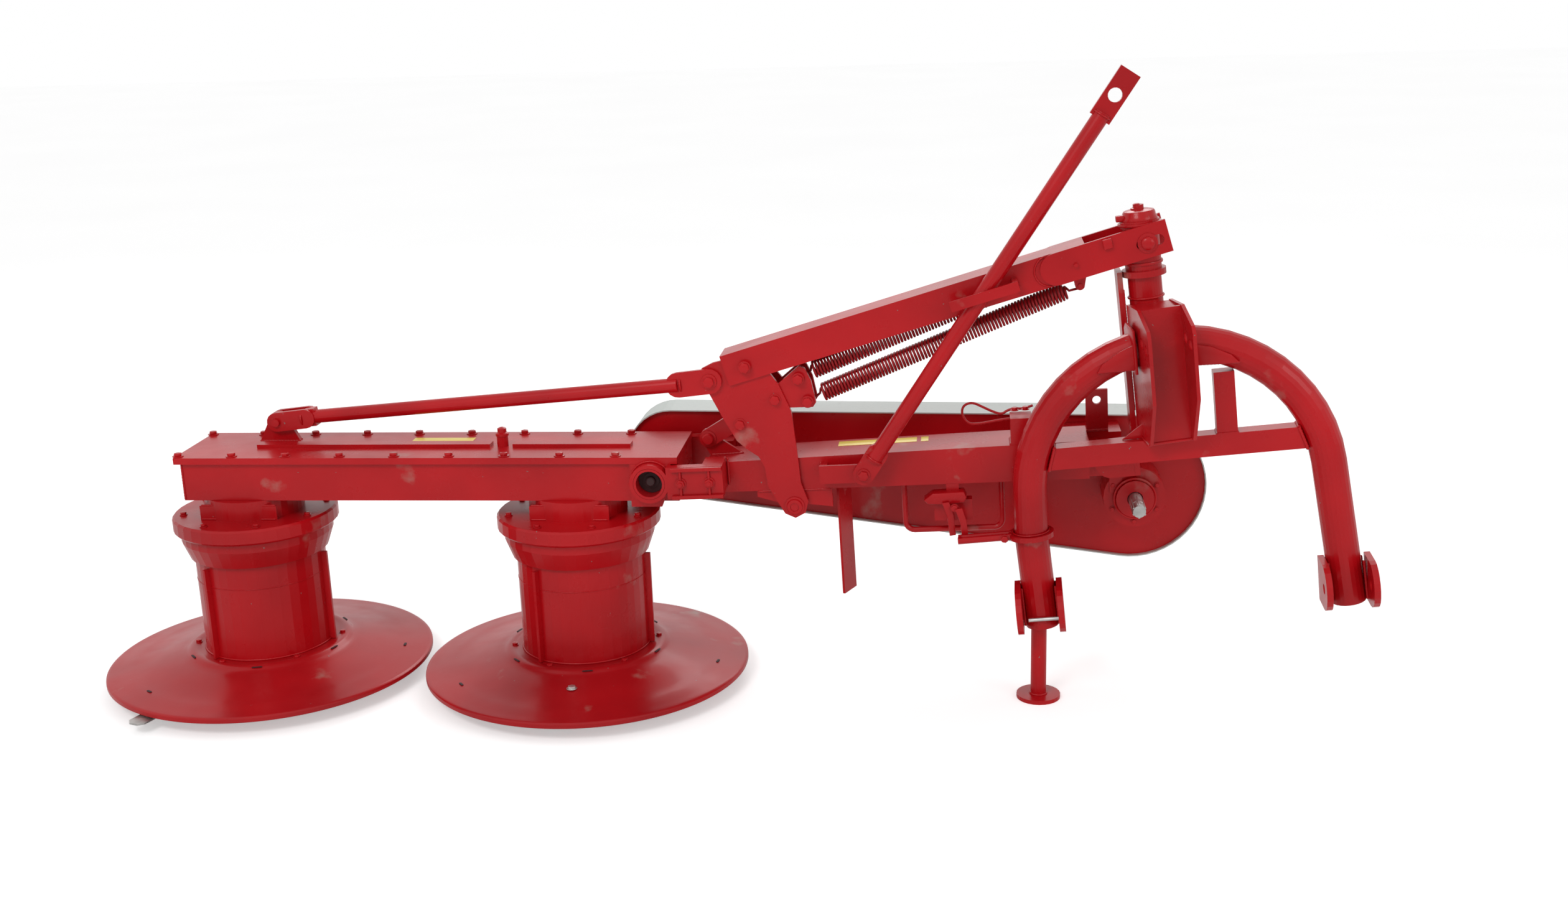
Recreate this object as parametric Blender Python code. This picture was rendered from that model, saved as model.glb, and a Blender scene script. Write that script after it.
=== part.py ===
"""A rear-mounted two-drum rotary mower, parked on its skids and its stand.

X runs along the cutter bar towards the hitch, Y away from the tractor, Z up.
The cutter bar is level. The beam, the hitch frame and the links each have a
frame of their own, an empty on the axis they turn about.
"""

import math

import bmesh
import bpy
from mathutils import Matrix, Vector

# Clearances, in metres
GAP = 0.0003
RUN_CLEAR = 0.005
CUT_OVERRUN = 0.01
WELD_BITE = 0.002

# Cutter bar: the level gear case with a bolted lid
DRUM_PITCH = 0.825
CASE_LENGTH = 1.100
CASE_OVERHANG = 0.141
CASE_DEPTH = 0.216
CASE_FRONT = 0.098
CASE_HEIGHT = 0.094
CASE_BOTTOM = 0.491
CASE_NOSE = 0.128
LID_THICK = 0.004
LID_LIP = 0.012
RIB_WIDTH = 0.016
RIB_RISE = 0.008
RIB_END_MARGIN = 0.070
PLUG_RADIUS = 0.014
PLUG_RISE = 0.030
DRAIN_RADIUS = 0.012
DRAIN_DROP = 0.016
TIE_LUG_WIDTH = 0.105
TIE_LUG_THICK = 0.014
TIE_LUG_BACK = 0.060

# Fixed collar above each drum, with the drum shaft through it
COLLAR_FLANGE_RADIUS = 0.200
COLLAR_FLANGE_THICK = 0.038
COLLAR_FLANGE_DROP = 0.048
COLLAR_BOWL_RADIUS = 0.184
COLLAR_BOWL_HEIGHT = 0.067
COLLAR_MOUTH_RADIUS = 0.168
COLLAR_WALL = 0.005
COLLAR_NECK_RADIUS = 0.120
COLLAR_TAB_WIDTH = 0.050
COLLAR_TAB_HEIGHT = 0.040
COLLAR_TAB_THICK = 0.005
SHAFT_RADIUS = 0.030
SHAFT_END = 0.034

# Drum tube and saucer
DRUM_RADIUS = 0.158
DRUM_WALL = 0.005
DRUM_TOP = 0.372
DRUM_FOOT = 0.094
HUB_RADIUS = 0.055
HUB_HEIGHT = 0.050
DRUM_RIBS = 3
DRUM_RIB_RISE = 0.014
DRUM_RIB_THICK = 0.008
DRUM_RIB_TOP_DROP = 0.045
DISC_RADIUS = 0.4035
DISC_SHEET = 0.004
DISC_RIM_HEIGHT = 0.036
DISC_LIP = 0.012
KNIVES_PER_DRUM = 3
KNIFE_PIN_INSET = 0.0685
KNIFE_TIP_REACH = 0.0365
KNIFE_PHASES = (math.radians(-117), math.radians(-93))
RIB_PHASES = (math.radians(0), math.radians(0))
KNIFE_WIDTH = 0.048
KNIFE_THICK = 0.004
KNIFE_SHOWN = math.radians(8)
KNIFE_FOLDED = math.radians(150)
KNIFE_BOTTOM = 0.0285
KNIFE_PIN_RADIUS = 0.008
KNIFE_PIN_HEAD = 0.013
KNIFE_PIN_HEAD_THICK = 0.004
SKID_RADIUS = 0.300
SKID_FLAT_RADIUS = 0.170
SKID_RIM_HEIGHT = 0.022
SKID_SHEET = 0.005
SKID_HUB_RADIUS = 0.060

# Cutter bar hinge, with its journal on the case nose
HINGE_X = 0.204
HINGE_Z = 0.543
JOURNAL_RADIUS = 0.0375
JOURNAL_BORE = 0.0315
EYE_RADIUS = 0.047
EYE_WIDTH = 0.026
NOSE_PLATE_SIDE = 0.098
NOSE_PLATE_DROP = 0.063
NOSE_PLATE_THICK = 0.012

# Main beam, in its own frame at the hinge
BEAM_TILT = math.radians(2.2)
BEAM_FRONT = 0.045
BEAM_WIDTH = 0.140
BEAM_START = 0.125
BEAM_END = 1.030
BEAM_FLOOR = -0.053
BEAM_HEIGHT_START = 0.074
BEAM_HEIGHT_END = 0.092
BRACKET_REACH = 0.176
BRACKET_HEIGHT = 0.076
TONGUE_WIDTH = 0.050
TONGUE_HEIGHT = 0.070
PIVOT_BLOCK_LENGTH = 0.180
PIVOT_BLOCK_DEPTH = 0.046
PIVOT_BLOCK_THICK = 0.012

# Belt guard and drive input behind the beam
GUARD_FRONT = 0.200
GUARD_DEPTH = 0.100
GUARD_SHEET = 0.003
GUARD_PLATE = 0.005
GUARD_LIP = 0.012
GUARD_SMALL_RADIUS = 0.112
GUARD_SMALL_DROP = 0.014
GUARD_LARGE_RADIUS = 0.184
INPUT_X = 1.355
INPUT_Z = 0.440
INPUT_HOUSING_RADIUS = 0.075
INPUT_HOUSING_FRONT = 0.100
SHIELD_RADIUS = 0.046
SHIELD_LENGTH = 0.020
STUB_RADIUS = 0.0175
STUB_FRONT = -0.020
STUB_BORE_CLEAR = 0.0015
GUARD_STAND_OFF_RADIUS = 0.030

# Lever, tie rod, upper arm and springs, in the beam's frame
LEVER_PIVOT_X = 0.333
LEVER_PIVOT_Z = -0.090
LEVER_HEIGHT = 0.348
LEVER_THICK = 0.010
LEVER_FRONT = 0.060
LEVER_BACK_PLATE = 0.018
# across and up from the lever's pivot, in lever heights
TIE_PIN_SHARES = (-181 / 348, 316 / 348)
ARM_PIN_SHARES = (-94 / 348, 348 / 348)
SPRING_UPPER_SHARES = (28 / 348, 311 / 348)
SPRING_LOWER_SHARES = (47 / 348, 255 / 348)
TIE_PIN_X = LEVER_PIVOT_X + LEVER_HEIGHT * TIE_PIN_SHARES[0]
TIE_PIN_Z = LEVER_PIVOT_Z + LEVER_HEIGHT * TIE_PIN_SHARES[1]
ARM_PIN_X = LEVER_PIVOT_X + LEVER_HEIGHT * ARM_PIN_SHARES[0]
ARM_PIN_Z = LEVER_PIVOT_Z + LEVER_HEIGHT * ARM_PIN_SHARES[1]
LEVER_PIN_RADIUS = 0.010
PIN_HEAD_RADIUS = 0.017
PIN_HEAD_THICK = 0.008
TIE_LUG_X = -0.763
TIE_LUG_Z = 0.652
TIE_ROD_RADIUS = 0.017
TIE_EYE_RADIUS = 0.030
TIE_EYE_THICK = 0.010
TIE_EYE_LENGTH = 0.075
TIE_PIN_PLAY = 0.0035
TIE_FORK_LENGTH = 0.075
MAST_PIN_X = 1.166
MAST_PIN_Z = 0.500
ARM_WIDTH = 0.094
ARM_CENTRE = -0.020
ARM_RISE = 0.040
ARM_DROP = 0.034
ARM_SHEET = 0.005
ARM_HEEL = 0.050
ARM_TRAVEL = 0.083
ARM_CHEEK_THICK = 0.008
ARM_CHEEK_LAP = 0.112
ARM_CHEEK_TOE = 0.050
ARM_SLOT_LENGTH = 0.052
ARM_SLOT_WIDTH = 0.024
ARM_BOLT_RADIUS = 0.013
ARM_WASHER_RADIUS = 0.020
ARM_WASHER_THICK = 0.003
SPRING_RADIUS = 0.023
SPRING_UPPER_X = LEVER_PIVOT_X + LEVER_HEIGHT * SPRING_UPPER_SHARES[0]
SPRING_UPPER_Z = LEVER_PIVOT_Z + LEVER_HEIGHT * SPRING_UPPER_SHARES[1]
SPRING_LOWER_X = LEVER_PIVOT_X + LEVER_HEIGHT * SPRING_LOWER_SHARES[0]
SPRING_LOWER_Z = LEVER_PIVOT_Z + LEVER_HEIGHT * SPRING_LOWER_SHARES[1]
SPRING_UPPER_END_X = 1.007
SPRING_UPPER_END_Z = 0.459
SPRING_LOWER_END_X = 1.018
SPRING_LOWER_END_Z = 0.404
SPRING_HOOK = 0.050
SPRING_WIRE = 0.006
SPRING_BOLT_RADIUS = 0.005
SPRING_TURNS = 26
SPRING_STEPS = 6
SPRING_WIRE_SIDES = 4
SPRING_LUG_GAP = 0.016
SPRING_LUG_THICK = 0.006
SPRING_LUG_RADIUS = 0.011
SPRING_PLATE_THICK = 0.008
KEEPER_START = 0.500
KEEPER_LENGTH = 0.160
KEEPER_HEIGHT = 0.024
KEEPER_THICK = 0.006
STOP_PIN_X = 0.125
STOP_PIN_Z = 0.065
STOP_RISE = math.radians(29.5)
STOP_LENGTH = 0.142
STOP_WIDTH = 0.044
STOP_THICK = 0.010
STOP_SLOT_START = 0.084
STOP_SLOT_END = 0.137
STOP_SLOT_WIDTH = 0.023
STOP_BOLT_RADIUS = 0.008
STOP_LUG_LENGTH = 0.085

# Stay rod along the front of the beam
STAY_PIN_X = 0.504
STAY_PIN_Z = -0.008
STAY_END_X = 1.098
STAY_END_Z = 0.830
STAY_PLANE = 0.092
STAY_RADIUS = 0.019
STAY_PLATE_LENGTH = 0.120
STAY_PLATE_WIDTH = 0.050
STAY_PLATE_THICK = 0.012
STAY_HOLE_RADIUS = 0.016
STAY_LUG_LENGTH = 0.105
STAY_LUG_HEIGHT = 0.044
STAY_LUG_THICK = 0.008

# Small pieces carried by the beam
CLAMP_X = 0.850
CLAMP_WIDTH = 0.050
CLAMP_RISE = 0.060
CARRY_LUG_X = 1.030
CARRY_LUG_WIDTH = 0.052
CARRY_LUG_RISE = 0.100
CARRY_LUG_THICK = 0.010
CARRY_LUG_HOLE = 0.010
GUIDE_LEFT_X = 0.593
GUIDE_RIGHT_X = 0.825
GUIDE_DROP = 0.125
GUIDE_RADIUS = 0.007
HANGER_X = 0.445
HANGER_LENGTH = 0.285
HANGER_WIDTH = 0.060
HANGER_THICK = 0.006
HANGER_YAW = math.radians(65)

# Swivel post and hitch frame
POST_X = 1.399
POST_Y = -0.020
POST_Z = 0.580
HITCH_TILT = math.radians(6.5)
HITCH_YAW = math.radians(6.0)
POST_RADIUS = 0.038
POST_BOTTOM = 0.052
POST_TOP = 0.430
HEAD_RADIUS = 0.041
HEAD_FLANGE_RADIUS = 0.050
HEAD_FLANGE_THICK = 0.014
HEAD_HEIGHT = 0.110
HEAD_RING_RADIUS = 0.0445
HEAD_RING_THICK = 0.016
CAP_RADIUS = 0.036
CAP_RISE = 0.022
NIPPLE_RADIUS = 0.012
NIPPLE_RISE = 0.012
STRAP_THICK = 0.012
STRAP_WIDTH = 0.075
STRAP_FRONT = -0.020
FOOT_FLANGE_THICK = 0.014
SPIGOT_RADIUS = 0.022
LUG_X = -0.115
LUG_Z = 0.000
LUG_THICK = 0.012
LUG_RADIUS = 0.038
LUG_PLANE = 0.018
LUG_PIN_RADIUS = 0.014
TOWER_HALF_WIDTH = 0.0525
TOWER_SHEET = 0.008
TOWER_WEB_FRONT = -0.150
TOWER_TOP = 0.380
TOWER_BOTTOM = 0.071
TOWER_WING_TOP = 0.095
TOWER_WING_FOOT = 0.012
TOWER_HOLE_RADIUS = 0.013
ARCH_SIDE = 0.0315
ARCH_AHEAD = 0.092
ARCH_BELOW = 0.047
ARCH_X = POST_X + ARCH_SIDE
ARCH_Y = POST_Y - ARCH_AHEAD
ARCH_Z = POST_Z - ARCH_BELOW
ARCH_TILT = math.radians(5.8)
ARCH_YAW = math.radians(-2.0)
ARCH_RADIUS = 0.337
ARCH_TUBE_RADIUS = 0.0391
ARCH_SPLAY = math.radians(5.0)
ARCH_STEPS = 24
ARCH_KNEE_X = 0.343
ARCH_KNEE_Z = 0.087
LEG_LEFT_X = 0.3365
LEG_LEFT_Z = 0.314
LEG_RIGHT_X = 0.3645
LEG_RIGHT_Z = 0.309
CROSSBAR_HEIGHT = 0.051
CROSSBAR_DEPTH = 0.045
CROSSBAR_TOP = 0.1196
STRUT_X = 0.116
STRUT_WIDTH = 0.046
STRUT_DEPTH = 0.040
EAR_REACH = 0.105
EAR_BACK = 0.015
EAR_HEIGHT = 0.108
EAR_THICK = 0.014
EAR_HOLE_RADIUS = 0.0125
EAR_HOLE_INSET = 0.042
LATCH_BAR_REACH = 0.118
LATCH_BAR_RADIUS = 0.008
LATCH_COLLAR_THICK = 0.012
LATCH_COLLAR_WIDTH = 0.014
PAWL_LENGTH = 0.090
PAWL_HEIGHT = 0.050
PAWL_THICK = 0.030
PAWL_DROP = 0.040

# Parking stand below the left leg
STAND_RADIUS = 0.0185
STAND_FOOT_RADIUS = 0.052
STAND_FOOT_THICK = 0.010
STAND_INSERT = 0.080
STAND_STROKE = 0.070
STAND_OFFSET = 0.009

ROUND_SIDES = 40
TUBE_SIDES = 24
PIN_SIDES = 16

# Lever outline as shares of its height, from the pivot
LEVER_SHARES = (
    (-0.569, 0.994), (-0.491, 1.030), (-0.284, 1.070), (-0.213, 1.068), (-0.126, 0.968),
    (-0.055, 0.862), (0.020, 0.670), (0.043, 0.351), (0.052, 0.164), (0.095, 0.030),
    (0.070, -0.050), (0.000, -0.085), (-0.070, -0.050), (-0.175, 0.149), (-0.187, 0.284),
    (-0.224, 0.362), (-0.305, 0.422), (-0.365, 0.480), (-0.440, 0.624), (-0.549, 0.859),
)
LEVER_BACK_SHARES = (
    (-0.400, 0.600), (-0.200, 0.600), (0.000, 0.800), (-0.126, 0.968), (-0.213, 1.060),
    (-0.330, 1.060), (-0.400, 0.900),
)
SPRING_PLATE_SHARES = (
    (-0.144, 0.790), (-0.124, 0.713), (-0.080, 0.693), (0.167, 0.690), (0.190, 0.721),
    (0.164, 0.874), (0.126, 0.960), (0.086, 0.977), (-0.055, 0.865),
)
SPACER_SHARES = ((-0.085, 0.757), (-0.335, 0.595))


def clear_scene():
    """Remove every object and mesh from the file."""
    for obj in list(bpy.data.objects):
        bpy.data.objects.remove(obj, do_unlink=True)
    for mesh in list(bpy.data.meshes):
        bpy.data.meshes.remove(mesh)


def finish(name, colour, roughness, metallic):
    """Return a Principled material."""
    material = bpy.data.materials.new(name)
    material.use_nodes = True
    shader = material.node_tree.nodes["Principled BSDF"]
    shader.inputs["Base Color"].default_value = (*colour, 1.0)
    shader.inputs["Roughness"].default_value = roughness
    shader.inputs["Metallic"].default_value = metallic
    material.diffuse_color = (*colour, 1.0)
    return material


def frame(name, parent, place, turn=None):
    """Return an empty at a place, turned by a matrix."""
    empty = bpy.data.objects.new(name, None)
    bpy.context.collection.objects.link(empty)
    empty.parent = parent
    empty.matrix_basis = Matrix.Translation(place) @ (turn or Matrix())
    return empty


def add(name, body, material, parent, offset=(0, 0, 0)):
    """Turn a bmesh into a named object under a parent."""
    bmesh.ops.remove_doubles(body, verts=body.verts, dist=GAP / 30)
    bmesh.ops.dissolve_degenerate(body, edges=body.edges, dist=GAP / 30)
    bmesh.ops.recalc_face_normals(body, faces=body.faces)
    mesh = bpy.data.meshes.new(name)
    body.to_mesh(mesh)
    body.free()
    mesh.materials.append(material)
    mesh.shade_smooth()
    mesh.set_sharp_from_angle(angle=math.radians(35))
    obj = bpy.data.objects.new(name, mesh)
    bpy.context.collection.objects.link(obj)
    obj.parent = parent
    obj.matrix_basis = Matrix.Translation(offset)
    return obj


def moved(body, place=(0, 0, 0), turn=None):
    """Turn and then shift a bmesh."""
    matrix = Matrix.Translation(place) @ (turn or Matrix())
    bmesh.ops.transform(body, matrix=matrix, verts=body.verts)
    return body


def block(low, high):
    """Return a box between two corners."""
    body = bmesh.new()
    bmesh.ops.create_cube(body, size=1.0)
    size = Vector(high) - Vector(low)
    bmesh.ops.scale(body, vec=size, verts=body.verts)
    bmesh.ops.translate(body, vec=(Vector(high) + Vector(low)) / 2, verts=body.verts)
    return body


def plate(outline, front, back, holes=()):
    """Extrude an outline in X and Z from one Y to another, with holes."""
    body = bmesh.new()
    edges = []
    for loop in (outline, *holes):
        ring = [body.verts.new((x, front, z)) for x, z in loop]
        edges += [body.edges.new((ring[i - 1], ring[i])) for i in range(len(ring))]
    if holes:
        bmesh.ops.triangle_fill(body, use_beauty=True, use_dissolve=False, edges=edges)
    else:
        body.faces.new(ring)
    grown = bmesh.ops.extrude_face_region(body, geom=body.faces[:])
    moving = [item for item in grown["geom"] if isinstance(item, bmesh.types.BMVert)]
    bmesh.ops.translate(body, vec=(0, back - front, 0), verts=moving)
    bmesh.ops.recalc_face_normals(body, faces=body.faces)
    return body


def circle(centre_x, centre_z, radius, sides=PIN_SIDES, start=0.0, sweep=2 * math.pi):
    """Return points on a circle, or on an arc with both its ends."""
    full = abs(sweep - 2 * math.pi) < 1e-9
    steps = sides if full else sides + 1
    return [
        (centre_x + radius * math.cos(start + sweep * i / sides),
         centre_z + radius * math.sin(start + sweep * i / sides))
        for i in range(steps)
    ]


def slot(start, end, radius, sides=8):
    """Return the outline of a round-ended slot between two points."""
    along = math.atan2(end[1] - start[1], end[0] - start[0])
    near = circle(*start, radius, sides, along + math.pi / 2, math.pi)
    far = circle(*end, radius, sides, along - math.pi / 2, math.pi)
    return near + far


def turned(profile, sides=ROUND_SIDES, closed=False):
    """Spin a profile of radius and height about Z."""
    body = bmesh.new()
    verts = [body.verts.new((radius, 0, height)) for radius, height in profile]
    edges = [body.edges.new(pair) for pair in zip(verts, verts[1:])]
    if closed:
        edges.append(body.edges.new((verts[-1], verts[0])))
    bmesh.ops.spin(
        body, geom=verts + edges, cent=(0, 0, 0), axis=(0, 0, 1),
        angle=2 * math.pi, steps=sides, use_merge=True, use_duplicate=False,
    )
    bmesh.ops.remove_doubles(body, verts=body.verts, dist=GAP / 30)
    bmesh.ops.recalc_face_normals(body, faces=body.faces)
    return body


def rod(start, end, radius, sides=TUBE_SIDES):
    """Return a cylinder between two points."""
    start, end = Vector(start), Vector(end)
    body = turned([(0, 0), (radius, 0), (radius, (end - start).length), (0, (end - start).length)], sides)
    turn = Vector((0, 0, 1)).rotation_difference(end - start).to_matrix().to_4x4()
    return moved(body, start, turn)


def cross_rod(centre_x, centre_z, front, back, radius, sides=PIN_SIDES):
    """Return a cylinder along Y."""
    return rod((centre_x, front, centre_z), (centre_x, back, centre_z), radius, sides)


def swept(points, radius, sides=TUBE_SIDES):
    """Sweep a circle along points that lie in one plane or gently curve."""
    points = [Vector(point) for point in points]
    body = bmesh.new()
    rings = []
    normal = None
    for index, point in enumerate(points):
        before = points[max(index - 1, 0)]
        after = points[min(index + 1, len(points) - 1)]
        ahead = (after - before).normalized()
        if normal is None:
            normal = ahead.orthogonal().normalized()
        normal = (normal - ahead * normal.dot(ahead)).normalized()
        side = ahead.cross(normal)
        rings.append([
            body.verts.new(point + radius * (normal * math.cos(turn) + side * math.sin(turn)))
            for turn in (2 * math.pi * i / sides for i in range(sides))
        ])
    for near, far in zip(rings, rings[1:]):
        for i in range(sides):
            body.faces.new((near[i - 1], near[i], far[i], far[i - 1]))
    body.faces.new(rings[0])
    body.faces.new(rings[-1])
    bmesh.ops.recalc_face_normals(body, faces=body.faces)
    return body


def combine(base, others, operation):
    """Unite other bodies with a base body, or cut them out of it."""
    hosts = []
    for body in (base, *others):
        mesh = bpy.data.meshes.new("shape")
        body.to_mesh(mesh)
        body.free()
        host = bpy.data.objects.new("shape", mesh)
        bpy.context.collection.objects.link(host)
        hosts.append(host)
    for tool in hosts[1:]:
        step = hosts[0].modifiers.new("shape", "BOOLEAN")
        step.operation = operation
        step.object = tool
    graph = bpy.context.evaluated_depsgraph_get()
    result = bmesh.new()
    result.from_mesh(hosts[0].evaluated_get(graph).to_mesh())
    for host in hosts:
        mesh = host.data
        bpy.data.objects.remove(host, do_unlink=True)
        bpy.data.meshes.remove(mesh)
    return result


def welded(base, *others):
    """Unite bodies that overlap."""
    return combine(base, others, "UNION")


def cut(base, *others):
    """Cut bodies out of a base body."""
    return combine(base, others, "DIFFERENCE")


def from_shares(shares, size):
    """Scale an outline of shares by one size."""
    return [(x * size, z * size) for x, z in shares]


def shifted(outline, place_x, place_z):
    """Shift an outline in X and Z."""
    return [(x + place_x, z + place_z) for x, z in outline]


CASE_RIGHT = CASE_OVERHANG - GAP
CASE_LEFT = CASE_RIGHT - CASE_LENGTH
CASE_BACK = CASE_DEPTH - CASE_FRONT
CASE_TOP = CASE_BOTTOM + CASE_HEIGHT
LID_BOTTOM = CASE_TOP + GAP
LID_TOP = LID_BOTTOM + LID_THICK + LID_LIP
BEAM_BACK = BEAM_WIDTH - BEAM_FRONT
KNIFE_PIVOT_RADIUS = DISC_RADIUS - KNIFE_PIN_INSET
KNIFE_TIP_RADIUS = DISC_RADIUS + KNIFE_TIP_REACH

# shares of a neighbouring size
TIE_NOSE_SHARE = 0.8
COLLAR_BELLY_SHARE = 0.35
COLLAR_TAB_SHARE = 0.6
DISC_EDGE_SHARE = 0.3
HOUSING_FOOT_SHARE = 0.17
HOUSING_SKIRT_SHARE = 0.8
HOUSING_NECK_SHARE = 0.4
CAP_TOP_SHARE = 0.7
TOWER_SHOULDER_SHARE = 0.36
LATCH_SPREAD_SHARE = 1.4
# out along the saucer and down from its foot
SAUCER_SHARES = (
    (0.0, 0.0), (0.14, 0.0), (0.20, 0.16), (0.42, 0.46), (0.66, 0.74), (0.86, 0.90), (0.97, 0.96),
)
# out along the skid's bowl and up from its sole
SKID_SHARES = ((0.0, 0.0), (0.35, 0.12), (0.7, 0.48), (1.0, 1.0))
# back from the wing's edge and down from its top, in hole radii
TOWER_HOLE_SHARES = ((2.4, 6.0), (5.6, 5.4))
# colour, roughness and metal of each finish
RED_FINISH = ((0.62, 0.02, 0.03), 0.35, 0.0)
ZINC_FINISH = ((0.62, 0.65, 0.62), 0.5, 0.6)
STEEL_FINISH = ((0.45, 0.44, 0.42), 0.4, 0.9)


def gear_case(paint, parent):
    """The long case with its nose at the hinge."""
    body = block((CASE_LEFT, -CASE_FRONT, CASE_BOTTOM), (CASE_RIGHT + CASE_NOSE, CASE_BACK, CASE_TOP))
    drain_x = -DRUM_PITCH / 2
    drain_low = (drain_x, 0, CASE_BOTTOM - DRAIN_DROP)
    drain = rod(drain_low, (drain_x, 0, CASE_BOTTOM + WELD_BITE), DRAIN_RADIUS, 6)
    add("gear_case", welded(body, drain), paint, parent)


def case_lid(paint, parent):
    """The lid with pressed ribs, filler plug and the tie rod's lug."""
    left = CASE_LEFT - LID_LIP
    right = CASE_RIGHT + CASE_NOSE
    body = block((left, -CASE_FRONT - LID_LIP, LID_BOTTOM), (right, CASE_BACK + LID_LIP, LID_TOP))
    rib_gap = GUARD_SMALL_RADIUS
    ribs = []
    middle = -DRUM_PITCH / 4
    for start, end in ((left + RIB_END_MARGIN + TIE_LUG_WIDTH, middle), (middle + rib_gap / 2, CASE_RIGHT)):
        ribs.append(block((start, -RIB_WIDTH, LID_TOP - WELD_BITE), (end, RIB_WIDTH, LID_TOP + RIB_RISE)))
    plug_x = middle + rib_gap / 4
    plug = rod((plug_x, 0, LID_TOP - WELD_BITE), (plug_x, 0, LID_TOP + PLUG_RISE), PLUG_RADIUS, 12)
    lug_base = LID_TOP - WELD_BITE
    apex = TIE_LUG_Z
    half = TIE_LUG_WIDTH / 2
    nose = TIE_EYE_RADIUS * TIE_NOSE_SHARE
    head = circle(TIE_LUG_X, apex, nose, 10, math.radians(10), math.radians(160))
    outline = [(TIE_LUG_X - half, lug_base), (TIE_LUG_X + half, lug_base)] + head
    hole = circle(TIE_LUG_X, apex, LEVER_PIN_RADIUS + TIE_PIN_PLAY)
    lug = plate(outline, TIE_LUG_BACK - TIE_LUG_THICK / 2, TIE_LUG_BACK + TIE_LUG_THICK / 2, [hole])
    add("case_lid", welded(body, *ribs, plug, lug), paint, parent)


def collar(name, paint, parent):
    """The fixed collar under the case, with the drum shaft."""
    top = CASE_BOTTOM - GAP
    flange_top = top - COLLAR_FLANGE_DROP
    flange_low = flange_top - COLLAR_FLANGE_THICK
    mouth = flange_low - COLLAR_BOWL_HEIGHT
    belly = flange_low - COLLAR_BOWL_HEIGHT * COLLAR_BELLY_SHARE
    wall = COLLAR_WALL
    profile = [
        (0, top), (COLLAR_NECK_RADIUS, top), (COLLAR_NECK_RADIUS, flange_top),
        (COLLAR_FLANGE_RADIUS - wall, flange_top), (COLLAR_FLANGE_RADIUS, flange_top - wall),
        (COLLAR_FLANGE_RADIUS, flange_low + wall), (COLLAR_FLANGE_RADIUS - wall, flange_low),
        (COLLAR_BOWL_RADIUS, flange_low), (COLLAR_BOWL_RADIUS, belly),
        (COLLAR_MOUTH_RADIUS, mouth), (COLLAR_MOUTH_RADIUS - wall, mouth),
        (COLLAR_BOWL_RADIUS - wall, belly), (COLLAR_BOWL_RADIUS - wall, flange_low),
        (SHAFT_RADIUS, flange_low), (SHAFT_RADIUS, SHAFT_END), (0, SHAFT_END),
    ]
    body = turned(profile)
    tab_z = flange_top - wall
    tabs = []
    for side in (-1, 1):
        left = side * COLLAR_NECK_RADIUS * COLLAR_TAB_SHARE - COLLAR_TAB_WIDTH / 2
        low = (left, -CASE_FRONT - COLLAR_TAB_THICK - GAP, tab_z)
        high = (low[0] + COLLAR_TAB_WIDTH, -CASE_FRONT - GAP, tab_z + COLLAR_TAB_HEIGHT)
        tabs.append(block(low, high))
    add(name, welded(body, *tabs), paint, parent)


def drum(name, paint, parent, phase):
    """The drum tube with its hub and three flat ribs."""
    wall = DRUM_WALL
    bore = SHAFT_RADIUS + GAP
    profile = [
        (bore, DRUM_TOP), (DRUM_RADIUS - wall, DRUM_TOP), (DRUM_RADIUS, DRUM_TOP - wall),
        (DRUM_RADIUS, DRUM_FOOT), (DRUM_RADIUS - wall, DRUM_FOOT),
        (DRUM_RADIUS - wall, DRUM_TOP - 2 * wall), (HUB_RADIUS, DRUM_TOP - 2 * wall),
        (HUB_RADIUS, DRUM_TOP - HUB_HEIGHT), (bore, DRUM_TOP - HUB_HEIGHT),
    ]
    body = turned(profile, closed=True)
    ribs = []
    for index in range(DRUM_RIBS):
        angle = phase + 2 * math.pi * index / DRUM_RIBS
        rib = block(
            (DRUM_RADIUS - wall / 2, -DRUM_RIB_THICK / 2, DRUM_FOOT + GAP),
            (DRUM_RADIUS + DRUM_RIB_RISE, DRUM_RIB_THICK / 2, DRUM_TOP - DRUM_RIB_TOP_DROP),
        )
        ribs.append(moved(rib, turn=Matrix.Rotation(angle, 4, "Z")))
    add(name, welded(body, *ribs), paint, parent)


def saucer_line():
    """Upper profile of the saucer, from the drum out to the rolled lip."""
    foot = DRUM_FOOT - GAP
    rim = DISC_RIM_HEIGHT + DISC_LIP
    span = DISC_RADIUS - DRUM_RADIUS
    drop = foot - rim
    return [(DRUM_RADIUS + span * out, foot - drop * down) for out, down in SAUCER_SHARES]


def height_at(line, radius):
    """Height of a profile line at a radius."""
    for (near, high), (far, low) in zip(line, line[1:]):
        if near <= radius <= far:
            return high + (low - high) * (radius - near) / (far - near)
    return line[-1][1]


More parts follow.
